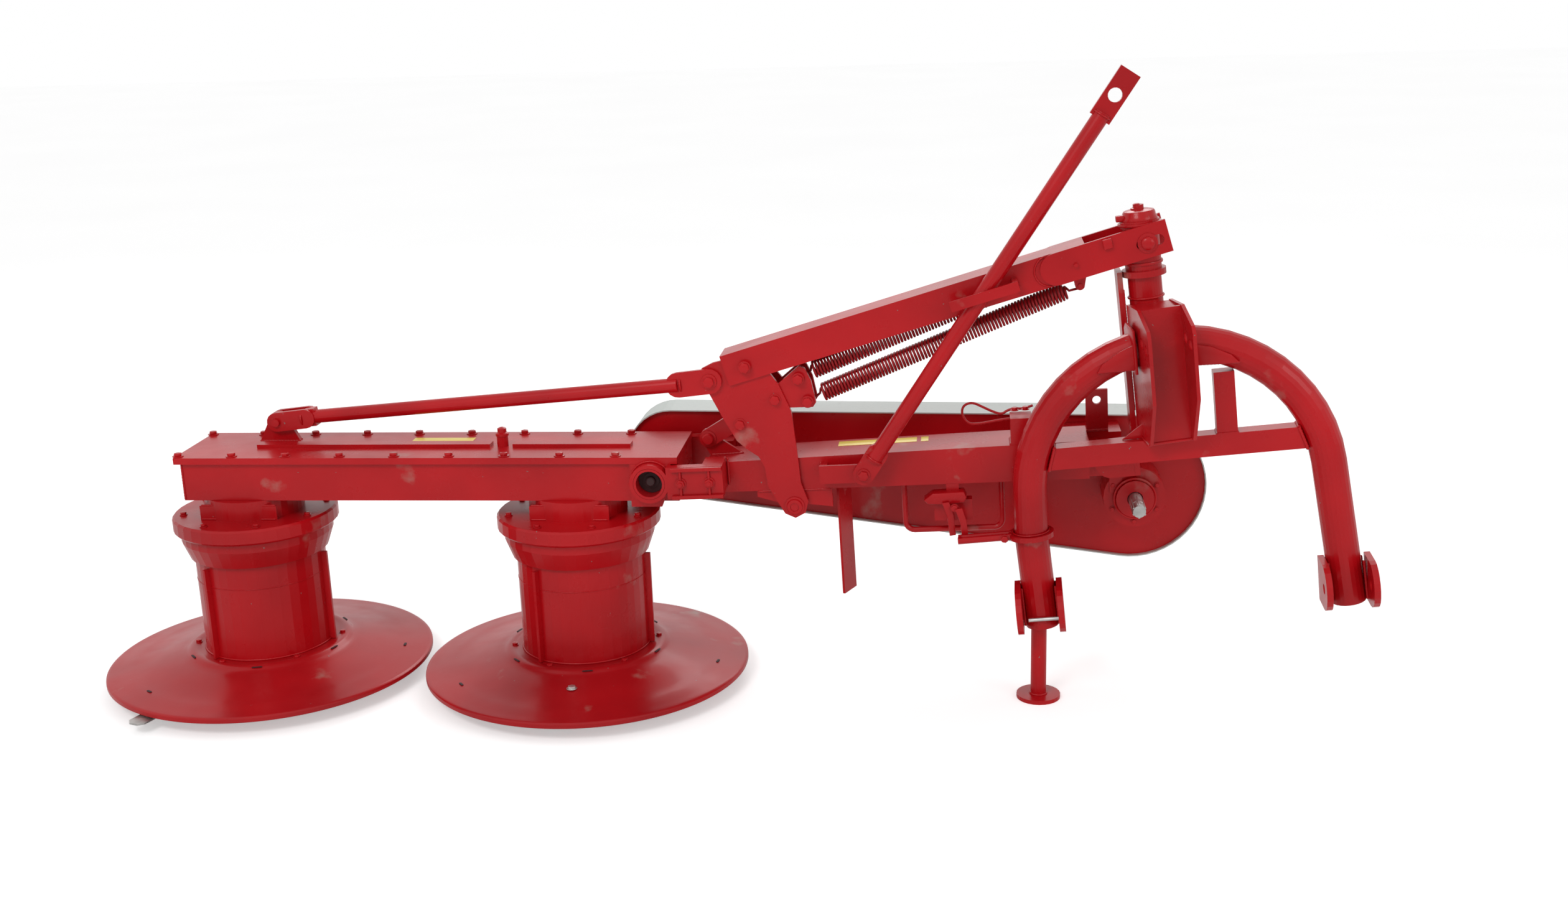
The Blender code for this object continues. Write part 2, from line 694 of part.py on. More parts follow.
def saucer(name, paint, parent, phase):
    """The domed working disc with its knife pins."""
    upper = saucer_line()
    foot = upper[0][1]
    bore = SHAFT_RADIUS + GAP
    profile = [(bore, foot)] + upper + [
        (DISC_RADIUS, upper[-1][1] - DISC_SHEET), (DISC_RADIUS, DISC_RIM_HEIGHT),
        (DISC_RADIUS - DISC_SHEET, DISC_RIM_HEIGHT),
    ]
    shift = DISC_SHEET * DISC_EDGE_SHARE
    profile += [(radius - shift, height - DISC_SHEET) for radius, height in reversed(upper)]
    profile += [(bore, foot - DISC_SHEET)]
    body = turned(profile, closed=True)
    pins = []
    knife_top = KNIFE_BOTTOM + KNIFE_THICK
    ceiling = height_at(upper, KNIFE_PIVOT_RADIUS) - DISC_SHEET / 2
    for index in range(KNIVES_PER_DRUM):
        angle = phase + 2 * math.pi * index / KNIVES_PER_DRUM
        pin = turned([
            (0, KNIFE_BOTTOM - GAP - KNIFE_PIN_HEAD_THICK),
            (KNIFE_PIN_HEAD, KNIFE_BOTTOM - GAP - KNIFE_PIN_HEAD_THICK),
            (KNIFE_PIN_HEAD, KNIFE_BOTTOM - GAP), (KNIFE_PIN_RADIUS, KNIFE_BOTTOM - GAP),
            (KNIFE_PIN_RADIUS, knife_top + GAP), (KNIFE_PIN_HEAD, knife_top + GAP),
            (KNIFE_PIN_HEAD, ceiling), (0, ceiling),
        ], PIN_SIDES)
        place = (KNIFE_PIVOT_RADIUS * math.cos(angle), KNIFE_PIVOT_RADIUS * math.sin(angle), 0)
        pins.append(moved(pin, place))
    add(name, welded(body, *pins), paint, parent)


def skid(name, steel, parent):
    """The free-turning skid bowl under the saucer."""
    sheet = SKID_SHEET
    span = SKID_RADIUS - SKID_FLAT_RADIUS
    rise = SKID_RIM_HEIGHT - sheet
    lower = [(SKID_FLAT_RADIUS + span * out, rise * up) for out, up in SKID_SHARES]
    profile = [(0, 0)] + lower
    profile += [(radius, height + sheet) for radius, height in reversed(lower)]
    profile += [(SKID_HUB_RADIUS, sheet), (SKID_HUB_RADIUS, SHAFT_END - GAP), (0, SHAFT_END - GAP)]
    add(name, turned(profile), steel, parent)


def knife(name, steel, parent):
    """One free-swinging knife, with its pin hole at the origin."""
    length = KNIFE_TIP_RADIUS - KNIFE_PIVOT_RADIUS
    half = KNIFE_WIDTH / 2
    heel = circle(0, 0, half, 10, math.pi / 2, math.pi)
    shoulder = length - half / 2
    outline = heel + [(shoulder, -half), (length, -half / 2), (length, half / 2), (shoulder, half)]
    hole = circle(0, 0, KNIFE_PIN_RADIUS + 2 * GAP, 12)
    body = plate(outline, 0, KNIFE_THICK, [hole])
    body = moved(body, (0, 0, KNIFE_BOTTOM), Matrix.Rotation(math.pi / 2, 4, "X"))
    add(name, body, steel, parent)


def case_nose(paint, parent):
    """The square nose plate with the hinge journals, front and back."""
    half = NOSE_PLATE_SIDE / 2
    top = CASE_TOP
    low = HINGE_Z - NOSE_PLATE_DROP
    front_face = -CASE_FRONT - GAP
    left, right = HINGE_X - half, HINGE_X + half
    outline = [(left, low), (HINGE_X + half / 2, low), (right, HINGE_Z), (right, top), (left, top)]
    bore = circle(HINGE_X, HINGE_Z, JOURNAL_BORE, TUBE_SIDES)
    rim = circle(HINGE_X, HINGE_Z, JOURNAL_RADIUS, TUBE_SIDES)
    square = plate(outline, front_face - NOSE_PLATE_THICK, front_face, [bore])
    journal = plate(rim, front_face - NOSE_PLATE_THICK - EYE_WIDTH - GAP, front_face - WELD_BITE, [bore])
    add("hinge_journal_front", welded(square, journal), paint, parent)
    back_face = CASE_BACK + LID_LIP + GAP
    rear = plate(rim, CASE_BACK + GAP, back_face + NOSE_PLATE_THICK + EYE_WIDTH, [bore])
    add("hinge_journal_rear", rear, paint, parent)


def main_beam(paint, parent):
    """The tapered main beam with its end tongue and small lugs."""
    low = BEAM_FLOOR
    outline = [
        (BEAM_START, low), (BEAM_END, low), (BEAM_END, low + BEAM_HEIGHT_END),
        (BEAM_START, low + BEAM_HEIGHT_START),
    ]
    body = plate(outline, -BEAM_FRONT, BEAM_BACK)
    end_x, end_z = hinge_a_in_beam()
    centre = POST_Y + LUG_PLANE
    half = TONGUE_WIDTH / 2
    eye = circle(end_x, end_z, TONGUE_HEIGHT / 2, 12, -math.pi / 2, math.pi)
    tongue_outline = eye + [
        (BEAM_END - WELD_BITE, end_z + TONGUE_HEIGHT / 2), (BEAM_END - WELD_BITE, end_z - TONGUE_HEIGHT / 2),
    ]
    hole = circle(end_x, end_z, LUG_PIN_RADIUS + GAP)
    tongue = plate(tongue_outline, centre - half, centre + half, [hole])
    clamp_top = low + BEAM_HEIGHT_END + CLAMP_RISE
    clamp_low = low + BEAM_HEIGHT_START
    clamp_right = CLAMP_X + CLAMP_WIDTH
    clamp = block((CLAMP_X, WELD_BITE - BEAM_FRONT, clamp_low), (clamp_right, BEAM_BACK / 4, clamp_top))
    lug_low = low + BEAM_HEIGHT_START
    lug_mid = CARRY_LUG_X + CARRY_LUG_WIDTH / 2
    lug_top = low + BEAM_HEIGHT_END + CARRY_LUG_RISE
    lug_outline = [
        (CARRY_LUG_X, lug_low), (CARRY_LUG_X + CARRY_LUG_WIDTH, lug_low),
        (CARRY_LUG_X + CARRY_LUG_WIDTH, lug_top), (CARRY_LUG_X, lug_top),
    ]
    lug_hole = circle(lug_mid, lug_top - CARRY_LUG_WIDTH / 2, CARRY_LUG_HOLE)
    carry_lug = plate(lug_outline, BEAM_BACK / 2, BEAM_BACK / 2 + CARRY_LUG_THICK, [lug_hole])
    block_mid = LEVER_PIVOT_X
    half_block = PIVOT_BLOCK_LENGTH / 2
    nose = circle(block_mid, LEVER_PIVOT_Z, PIVOT_BLOCK_DEPTH / 2, 10, math.pi, math.pi)
    pivot_outline = [
        (block_mid + half_block, low + WELD_BITE), (block_mid - half_block, low + WELD_BITE),
        (block_mid - half_block, low - PIVOT_BLOCK_DEPTH / 3),
    ] + nose + [(block_mid + half_block, low - PIVOT_BLOCK_DEPTH)]
    pivot_hole = circle(block_mid, LEVER_PIVOT_Z, LEVER_PIN_RADIUS + GAP)
    pivot_front = WELD_BITE - BEAM_FRONT
    pivot = plate(pivot_outline, pivot_front, pivot_front + PIVOT_BLOCK_THICK, [pivot_hole])
    extras = (tongue, clamp, carry_lug, pivot, stay_lug_body(), *stop_lug())
    add("main_beam", welded(body, *extras), paint, parent)


def stay_lug_body():
    """The bent strap on the beam's front that holds the stay rod's pin."""
    front = -STAY_PLANE + STAY_PLATE_THICK / 2 + GAP
    half = STAY_LUG_HEIGHT / 2
    eye = circle(STAY_PIN_X, STAY_PIN_Z, half, 10, -math.pi / 2, math.pi)
    outline = eye + [
        (STAY_PIN_X - STAY_LUG_LENGTH, STAY_PIN_Z + half), (STAY_PIN_X - STAY_LUG_LENGTH, STAY_PIN_Z - half),
    ]
    hole = circle(STAY_PIN_X, STAY_PIN_Z, LEVER_PIN_RADIUS + GAP)
    strap = plate(outline, front, front + STAY_LUG_THICK, [hole])
    root = STAY_PIN_X - STAY_LUG_LENGTH + WELD_BITE
    foot = block(
        (root, front + WELD_BITE, STAY_PIN_Z - half + WELD_BITE),
        (root + STAY_LUG_THICK * 2, -BEAM_FRONT + WELD_BITE, STAY_PIN_Z + half - WELD_BITE),
    )
    return welded(strap, foot)


def hinge_bracket(paint, parent):
    """The two bracket arms on the beam, with eyes round the journals."""
    front_face = -CASE_FRONT - GAP - NOSE_PLATE_THICK - GAP
    back_face = CASE_BACK + LID_LIP + NOSE_PLATE_THICK
    arms = (
        ("hinge_bracket_front", front_face - EYE_WIDTH + GAP, front_face, -BEAM_FRONT - GAP),
        ("hinge_bracket_rear", back_face, back_face + EYE_WIDTH - GAP, BEAM_BACK + GAP),
    )
    for name, near, far, seat in arms:
        rim = circle(0, 0, EYE_RADIUS, TUBE_SIDES)
        bore = circle(0, 0, JOURNAL_RADIUS / math.cos(math.pi / TUBE_SIDES) + GAP, TUBE_SIDES)
        eye = plate(rim, near, far, [bore])
        half = BRACKET_HEIGHT / 2
        start = (EYE_RADIUS + JOURNAL_RADIUS) / 2
        web = block((start, near, -half), (BRACKET_REACH, far, half))
        seat_low, seat_high = sorted(((near + far) / 2, seat))
        inner = half - WELD_BITE
        pad = block((BEAM_START + GAP, seat_low, -inner), (BRACKET_REACH - WELD_BITE, seat_high, inner))
        add(name, welded(eye, web, pad), paint, parent)


def guard_outline(inset):
    """Teardrop round the two pulleys, drawn in by an inset."""
    input_x, input_z = in_beam(INPUT_X, INPUT_Z)
    small_z = -GUARD_SMALL_DROP
    small_radius, large_radius = GUARD_SMALL_RADIUS - inset, GUARD_LARGE_RADIUS - inset
    length = math.hypot(input_x, input_z - small_z)
    lean = math.atan2(input_z - small_z, input_x)
    spread = math.acos((small_radius - large_radius) / length)
    small = circle(0, small_z, small_radius, 18, lean + spread, 2 * math.pi - 2 * spread)
    large = circle(input_x, input_z, large_radius, 26, lean - spread, 2 * spread)
    return small + large


def belt_guard(paint, zinc, parent):
    """The belt housing: a flat front plate set into a folded cover."""
    front = plate(guard_outline(GUARD_SHEET + GAP), GUARD_FRONT, GUARD_FRONT + GUARD_PLATE)
    add("belt_guard", front, paint, parent)
    back = GUARD_FRONT + GUARD_DEPTH
    outer = plate(guard_outline(0), GUARD_FRONT - GUARD_LIP, back)
    inner = plate(guard_outline(GUARD_SHEET), GUARD_FRONT - GUARD_LIP - CUT_OVERRUN, back - GUARD_SHEET)
    add("guard_cover", cut(outer, inner), zinc, parent)


def input_housing(paint, steel, parent):
    """The drive input's bearing tube, shield and turning stub."""
    input_x, input_z = in_beam(INPUT_X, INPUT_Z)
    shield_front = INPUT_HOUSING_FRONT - SHIELD_LENGTH
    seat = GUARD_FRONT - GAP
    bore = STUB_RADIUS + STUB_BORE_CLEAR
    tube = turned([
        (bore, shield_front), (SHIELD_RADIUS, shield_front), (SHIELD_RADIUS, INPUT_HOUSING_FRONT),
        (INPUT_HOUSING_RADIUS, INPUT_HOUSING_FRONT), (INPUT_HOUSING_RADIUS, seat), (bore, seat),
    ], TUBE_SIDES, closed=True)
    tube = moved(tube, (input_x, 0, input_z), Matrix.Rotation(-math.pi / 2, 4, "X"))
    low = BEAM_FLOOR
    top = low + BEAM_HEIGHT_START
    foot = input_z + INPUT_HOUSING_RADIUS * HOUSING_FOOT_SHARE
    skirt = input_x - INPUT_HOUSING_RADIUS * HOUSING_SKIRT_SHARE
    neck = input_x - INPUT_HOUSING_RADIUS * HOUSING_NECK_SHARE
    outline = [
        (BEAM_END - 2 * INPUT_HOUSING_RADIUS, top), (BEAM_END - 2 * INPUT_HOUSING_RADIUS, low),
        (skirt, low), (skirt, foot), (neck, foot), (neck, top),
    ]
    hanger = plate(outline, BEAM_BACK + GAP, seat - WELD_BITE)
    add("input_housing", welded(tube, hanger), paint, parent)
    spacer = cross_rod(
        BEAM_START + 2 * GUARD_STAND_OFF_RADIUS, -GUARD_SMALL_DROP, BEAM_BACK + GAP, GUARD_FRONT - GAP,
        GUARD_STAND_OFF_RADIUS / 2,
    )
    moved(spacer, (BRACKET_REACH - BEAM_START, 0, 0))
    add("guard_stand_off", spacer, paint, parent)
    spin = frame("axis_input_stub", parent, (input_x, 0, input_z))
    stub = cross_rod(0, 0, STUB_FRONT, GUARD_FRONT - 2 * GAP, STUB_RADIUS)
    add("input_stub", stub, steel, spin)


def in_beam(world_x, world_z):
    """Place of a cutter bar point in the beam's frame."""
    across, up = world_x - HINGE_X, world_z - HINGE_Z
    cos, sin = math.cos(BEAM_TILT), math.sin(BEAM_TILT)
    return across * cos + up * sin, up * cos - across * sin


def hinge_a_in_beam():
    """Place of the beam's hinge at the post in the beam's frame."""
    cos, sin = math.cos(HITCH_TILT), math.sin(HITCH_TILT)
    return in_beam(POST_X + LUG_X * cos - LUG_Z * sin, POST_Z + LUG_X * sin + LUG_Z * cos)


def beam_trim(paint, parent):
    """The hanging plate and the bent guide rod under the beam."""
    low = BEAM_FLOOR - GAP
    bolt_y = HANGER_WIDTH / 2
    bolt = rod((HANGER_X, bolt_y, low - 3 * HANGER_THICK), (HANGER_X, bolt_y, low), PIN_HEAD_RADIUS / 2, 6)
    half, thin = HANGER_WIDTH / 2, HANGER_THICK / 2
    sheet = block((-half, -thin, low - HANGER_LENGTH), (half, thin, low))
    sheet = moved(sheet, (HANGER_X, bolt_y, 0), Matrix.Rotation(HANGER_YAW, 4, "Z"))
    add("hanging_plate", welded(sheet, bolt), paint, parent)
    bend = GUIDE_RADIUS * 3
    floor = low - GUIDE_DROP
    points = [(GUIDE_LEFT_X, 0, low)]
    for centre_x, start in ((GUIDE_LEFT_X + bend, math.pi), (GUIDE_RIGHT_X - bend, 3 * math.pi / 2)):
        arc = circle(centre_x, floor + bend, bend, 6, start, math.pi / 2)
        points += [(x, 0, z) for x, z in arc]
    points.append((GUIDE_RIGHT_X, 0, low))
    add("guide_rod", swept(points, GUIDE_RADIUS, 12), paint, parent)


def lever(paint, parent, offset):
    """The lever plate with its back plate, spring plate and pins."""
    main = shifted(from_shares(LEVER_SHARES, LEVER_HEIGHT), LEVER_PIVOT_X, LEVER_PIVOT_Z)
    rear = shifted(from_shares(LEVER_BACK_SHARES, LEVER_HEIGHT), LEVER_PIVOT_X, LEVER_PIVOT_Z)
    springs = shifted(from_shares(SPRING_PLATE_SHARES, LEVER_HEIGHT), LEVER_PIVOT_X, LEVER_PIVOT_Z)
    front = -LEVER_FRONT
    face = front + LEVER_THICK
    back = LEVER_BACK_PLATE
    bodies = [plate(rear, back - LEVER_THICK, back)]
    inner = back - LEVER_THICK
    bodies.append(plate(springs, face - WELD_BITE, face + SPRING_PLATE_THICK))
    bodies.append(plate(springs, inner - SPRING_PLATE_THICK, inner + WELD_BITE))
    spacers = shifted(from_shares(SPACER_SHARES, LEVER_HEIGHT), LEVER_PIVOT_X, LEVER_PIVOT_Z)
    stop_end = back + GAP + STOP_THICK + PIN_HEAD_THICK
    for (x, z), far in zip(spacers, (back, stop_end)):
        bodies.append(cross_rod(x, z, front - PIN_HEAD_THICK, far, STOP_BOLT_RADIUS, 12))
    for x, z in ((SPRING_UPPER_X, SPRING_UPPER_Z), (SPRING_LOWER_X, SPRING_LOWER_Z)):
        bodies.append(cross_rod(x, z, front - PIN_HEAD_THICK, back, SPRING_BOLT_RADIUS, 12))
    near = -BEAM_FRONT + PIVOT_BLOCK_THICK
    bodies.append(cross_rod(LEVER_PIVOT_X, LEVER_PIVOT_Z, front - PIN_HEAD_THICK, near, LEVER_PIN_RADIUS))
    arm_half = ARM_WIDTH / 2
    arm_front, arm_back = ARM_CENTRE - arm_half, ARM_CENTRE + arm_half
    for low, high in ((arm_front - LEVER_THICK, face), (inner, arm_back + LEVER_THICK)):
        bodies.append(cross_rod(ARM_PIN_X, ARM_PIN_Z, low, high, LEVER_PIN_RADIUS))
    bodies.append(cross_rod(TIE_PIN_X, TIE_PIN_Z, front - TIE_EYE_THICK - 2 * GAP, face, LEVER_PIN_RADIUS))
    add("lever", welded(plate(main, front, face), *bodies), paint, parent, offset)


def tie_rod(paint, parent, offset):
    """The rod from the lever to the cutter bar, flattened to an eye and a fork."""
    lug_x, lug_z = in_beam(TIE_LUG_X, TIE_LUG_Z)
    start = Vector((TIE_PIN_X, -LEVER_FRONT - GAP - TIE_EYE_THICK / 2, TIE_PIN_Z))
    end = Vector((lug_x, TIE_LUG_BACK, lug_z))
    flat = level_turn(end - start)
    along = flat @ Vector((1, 0, 0))
    half = TIE_EYE_THICK / 2
    eye_hole = circle(0, 0, LEVER_PIN_RADIUS + GAP)
    eye = plate(slot((0, 0), (TIE_EYE_LENGTH, 0), TIE_EYE_RADIUS), -half, half, [eye_hole])
    gap = TIE_LUG_THICK / 2 + RUN_CLEAR
    tall = TIE_EYE_RADIUS * TIE_NOSE_SHARE
    bodies = [moved(eye, start, flat)]
    for side in (-1, 1):
        near, far = sorted((side * gap, side * (gap + TIE_EYE_THICK)))
        tine = plate(slot((-TIE_FORK_LENGTH, 0), (0, 0), tall), near, far)
        bodies.append(moved(tine, end, flat))
    pin_end = gap + TIE_EYE_THICK + PIN_HEAD_THICK
    bodies.append(moved(cross_rod(0, 0, -pin_end, pin_end, LEVER_PIN_RADIUS), end, flat))
    root = block(
        (-TIE_FORK_LENGTH - tall, -gap - WELD_BITE, WELD_BITE - tall),
        (-TIE_FORK_LENGTH + WELD_BITE, gap + WELD_BITE, tall - WELD_BITE),
    )
    bodies.append(moved(root, end, flat))
    tube = rod(start + along * TIE_EYE_LENGTH, end - along * (TIE_FORK_LENGTH + WELD_BITE), TIE_ROD_RADIUS)
    add("tie_rod", welded(tube, *bodies), paint, parent, offset)


def level_turn(along):
    """Turn about Y that points X along a direction seen from the front."""
    return Matrix.Rotation(math.atan2(-along.z, along.x), 4, "Y")


def arm_turn():
    """Angle of the upper arm in the beam's frame."""
    return math.atan2(MAST_PIN_Z - ARM_PIN_Z, MAST_PIN_X - ARM_PIN_X)


def arm_reach():
    """Length of the upper arm from its pin to the bolt at the post."""
    return math.hypot(MAST_PIN_X - ARM_PIN_X, MAST_PIN_Z - ARM_PIN_Z)


def channel_end():
    """Length of the channel, which stops short of the head in every pose."""
    return arm_reach() - HEAD_FLANGE_RADIUS - ARM_TRAVEL


def upper_arm(paint, parent, offset):
    """The inverted channel with cheeks that straddle the post."""
    half = ARM_WIDTH / 2
    top, low = ARM_RISE, -ARM_DROP
    reach = arm_reach()
    channel = channel_end()
    outer = block((-ARM_HEEL, -half, low), (channel, half, top))
    inner = block(
        (-ARM_HEEL - CUT_OVERRUN, -half + ARM_SHEET, low - CUT_OVERRUN),
        (channel + CUT_OVERRUN, half - ARM_SHEET, top - ARM_SHEET),
    )
    body = cut(outer, inner)
    cheek_end = reach + ARM_CHEEK_TOE
    round_end = (top - low) / 2
    nose = circle(channel - ARM_CHEEK_LAP + round_end, top - round_end, round_end, 10, math.pi / 2, math.pi)
    outline = nose + [(cheek_end, low), (cheek_end, top)]
    slot_start = (reach - ARM_SLOT_LENGTH / 4, 0)
    slot_end = (reach + ARM_SLOT_LENGTH / 2, 0)
    opening = slot(slot_start, slot_end, ARM_SLOT_WIDTH / 2)
    cheeks = []
    for side in (-1, 1):
        near, far = sorted((side * half, side * (half + ARM_CHEEK_THICK)))
        cheeks.append(plate(outline, near, far, [opening]))
    fill_low = channel - ARM_CHEEK_THICK
    fills = [
        block(
            (fill_low, side - ARM_SHEET / 2, low + ARM_SHEET),
            (channel - WELD_BITE, side + ARM_SHEET / 2, top - ARM_SHEET),
        )
        for side in (-half, half)
    ]
    face = half + ARM_CHEEK_THICK
    tip = face + PIN_HEAD_THICK
    bolt = cross_rod(spring_end_along(), 0, -tip, tip, SPRING_BOLT_RADIUS, 12)
    heads = []
    for side in (-1, 1):
        under, over = face - WELD_BITE, face + ARM_WASHER_THICK
        for radius, low, high, sides in (
            (ARM_WASHER_RADIUS, under, over, PIN_SIDES),
            (ARM_BOLT_RADIUS, over - WELD_BITE / 2, over + PIN_HEAD_THICK, 6),
        ):
            near, far = sorted((side * low, side * high))
            heads.append(cross_rod(reach, 0, near, far, radius, sides))
    body = welded(body, *cheeks, *fills, keeper_body(half), bolt, *heads, *spring_lugs(half))
    bore = cross_rod(0, 0, -half - CUT_OVERRUN, half + CUT_OVERRUN, LEVER_PIN_RADIUS + GAP)
    body = cut(body, bore)
    body = moved(body, (ARM_PIN_X, ARM_CENTRE, ARM_PIN_Z), Matrix.Rotation(-arm_turn(), 4, "Y"))
    add("upper_arm", body, paint, parent, offset)


def spring_end_along():
    """Distance of the upper spring's far bolt along the arm."""
    return math.hypot(SPRING_UPPER_END_X - ARM_PIN_X, SPRING_UPPER_END_Z - ARM_PIN_Z)


def keeper_body(half):
    """The flat strap that holds the stay rod against the arm."""
    stand = STAY_PLANE + ARM_CENTRE - half + STAY_RADIUS + RUN_CLEAR
    strap = block(
        (KEEPER_START, -half - stand - KEEPER_THICK, -KEEPER_HEIGHT / 2),
        (KEEPER_START + KEEPER_LENGTH, -half - stand, KEEPER_HEIGHT / 2),
    )
    foot = block(
        (KEEPER_START + KEEPER_LENGTH - 2 * KEEPER_THICK, -half - stand - WELD_BITE, -KEEPER_HEIGHT / 2),
        (KEEPER_START + KEEPER_LENGTH, -half + WELD_BITE, KEEPER_HEIGHT / 2),
    )
    return welded(strap, foot)


def spring_lugs(half):
    """The small bracket below the arm for the lower spring's hook."""
    across, up = SPRING_LOWER_END_X - ARM_PIN_X, SPRING_LOWER_END_Z - ARM_PIN_Z
    cos, sin = math.cos(arm_turn()), math.sin(arm_turn())
    along, below = across * cos + up * sin, up * cos - across * sin
    radius = SPRING_LUG_RADIUS
    floor = -ARM_DROP
    width = half + ARM_CHEEK_THICK / 2
    reach = min(along + 4 * radius, channel_end())
    under = floor + WELD_BITE
    base = block((along - radius, -width, under), (reach, width, under + ARM_CHEEK_THICK))
    bodies = [base]
    outline = circle(along, below, radius, 10, math.pi, 4 * math.pi / 5)
    outline += [(reach - radius, floor + 2 * WELD_BITE), (along - radius + WELD_BITE, floor + 2 * WELD_BITE)]
    near = SPRING_LUG_GAP / 2
    far = near + SPRING_LUG_THICK
    for low, high in ((-far, -near), (near, far)):
        bodies.append(plate(outline, low, high))
    tip = far + SPRING_LUG_THICK
    bodies.append(cross_rod(along, below, -tip, tip, SPRING_BOLT_RADIUS, 12))
    return bodies


def hook_line():
    """One end of a spring: the eye round its bolt, the shank and the spiral out to the coil."""
    eye = SPRING_BOLT_RADIUS + SPRING_WIRE / 2 + 2 * GAP
    coil = SPRING_RADIUS - SPRING_WIRE / 2
    line = [(x, 0, z) for x, z in circle(0, 0, eye, 7, math.pi / 2, math.pi)]
    for step in range(6):
        share = step / 6
        turn = math.pi * (share - 1 / 2)
        radius = eye + (coil - eye) * share
        line.append((SPRING_HOOK - 2 * coil * (1 - share), radius * math.cos(turn), radius * math.sin(turn)))
    return line


def spring_line(length):
    """Centre line of a spring's wire, from one bolt to the other."""
    coil = SPRING_RADIUS - SPRING_WIRE / 2
    start = hook_line()
    steps = SPRING_TURNS * SPRING_STEPS
    run = length - 2 * SPRING_HOOK
    helix = []
    for step in range(steps + 1):
        turn = math.pi / 2 + 2 * math.pi * step / SPRING_STEPS
        helix.append((SPRING_HOOK + run * step / steps, coil * math.cos(turn), coil * math.sin(turn)))
    finish_line = [(length - x, -y, z) for x, y, z in reversed(start)]
    return start + helix + finish_line


def springs(paint, parent, offset):
    """The two balance springs, side by side under the arm."""
    ends = (
        ("spring_upper", (SPRING_UPPER_X, SPRING_UPPER_Z), (SPRING_UPPER_END_X, SPRING_UPPER_END_Z)),
        ("spring_lower", (SPRING_LOWER_X, SPRING_LOWER_Z), (SPRING_LOWER_END_X, SPRING_LOWER_END_Z)),
    )
    for name, near, far in ends:
        start = Vector((near[0], ARM_CENTRE, near[1]))
        end = Vector((far[0], ARM_CENTRE, far[1]))
        coil = swept(spring_line((end - start).length), SPRING_WIRE / 2, SPRING_WIRE_SIDES)
        add(name, moved(coil, start, level_turn(end - start)), paint, parent, offset)


def stop_link(paint, parent, offset):
    """The short slotted link between the beam's lug and the lever's bolt."""
    cos, sin = math.cos(STOP_RISE), math.sin(STOP_RISE)
    end = (STOP_PIN_X + STOP_LENGTH * cos, STOP_PIN_Z + STOP_LENGTH * sin)
    near = (STOP_PIN_X + STOP_SLOT_START * cos, STOP_PIN_Z + STOP_SLOT_START * sin)
    far = (STOP_PIN_X + STOP_SLOT_END * cos, STOP_PIN_Z + STOP_SLOT_END * sin)
    hole = circle(STOP_PIN_X, STOP_PIN_Z, LEVER_PIN_RADIUS + GAP)
    outline = slot((STOP_PIN_X, STOP_PIN_Z), end, STOP_WIDTH / 2)
    front = LEVER_BACK_PLATE + GAP
    body = plate(outline, front, front + STOP_THICK, [hole, slot(near, far, STOP_SLOT_WIDTH / 2)])
    add("stop_link", body, paint, parent, offset)


def stop_lug():
    """The beam's lug behind the stop link, with the link's pin."""
    front = LEVER_BACK_PLATE + 2 * GAP + STOP_THICK
    half = STOP_WIDTH / 2
    floor = BEAM_FLOOR + BEAM_HEIGHT_START - WELD_BITE
    head = circle(STOP_PIN_X, STOP_PIN_Z, half, 8, 0, math.pi)
    outline = head + [(BEAM_START + WELD_BITE, floor), (BEAM_START + STOP_LUG_LENGTH, floor)]
    lug = plate(outline, front, front + STOP_THICK)
    pin_front = LEVER_BACK_PLATE - PIN_HEAD_THICK
    pin = cross_rod(STOP_PIN_X, STOP_PIN_Z, pin_front, front + WELD_BITE, LEVER_PIN_RADIUS)
    return lug, pin


def stay_rod(paint, parent, offset):
    """The long stay with a flat drilled end."""
    start = Vector((STAY_PIN_X, -STAY_PLANE, STAY_PIN_Z))
    end = Vector((STAY_END_X, -STAY_PLANE, STAY_END_Z))
    along = (end - start).normalized()
    length = (end - start).length
    half = STAY_PLATE_THICK / 2
    turn = level_turn(along)
    hole = circle(0, 0, LEVER_PIN_RADIUS + GAP)
    eye = plate(slot((0, 0), (STAY_PLATE_LENGTH / 2, 0), STAY_PLATE_WIDTH / 2), -half, half, [hole])
    near = length - STAY_PLATE_LENGTH / 2
    outline = [(near, -STAY_PLATE_WIDTH / 2), (near + STAY_PLATE_LENGTH, -STAY_PLATE_WIDTH / 2)]
    outline += [(x, -z) for x, z in reversed(outline)]
    top = plate(outline, -half, half, [circle(length, 0, STAY_HOLE_RADIUS)])
    tube_end = start + along * (near + STAY_PLATE_LENGTH / 8)
    tube = rod(start + along * STAY_PLATE_LENGTH / 3, tube_end, STAY_RADIUS)
    body = welded(tube, moved(eye, start, turn), moved(top, start, turn))
    add("stay_rod", body, paint, parent, offset)


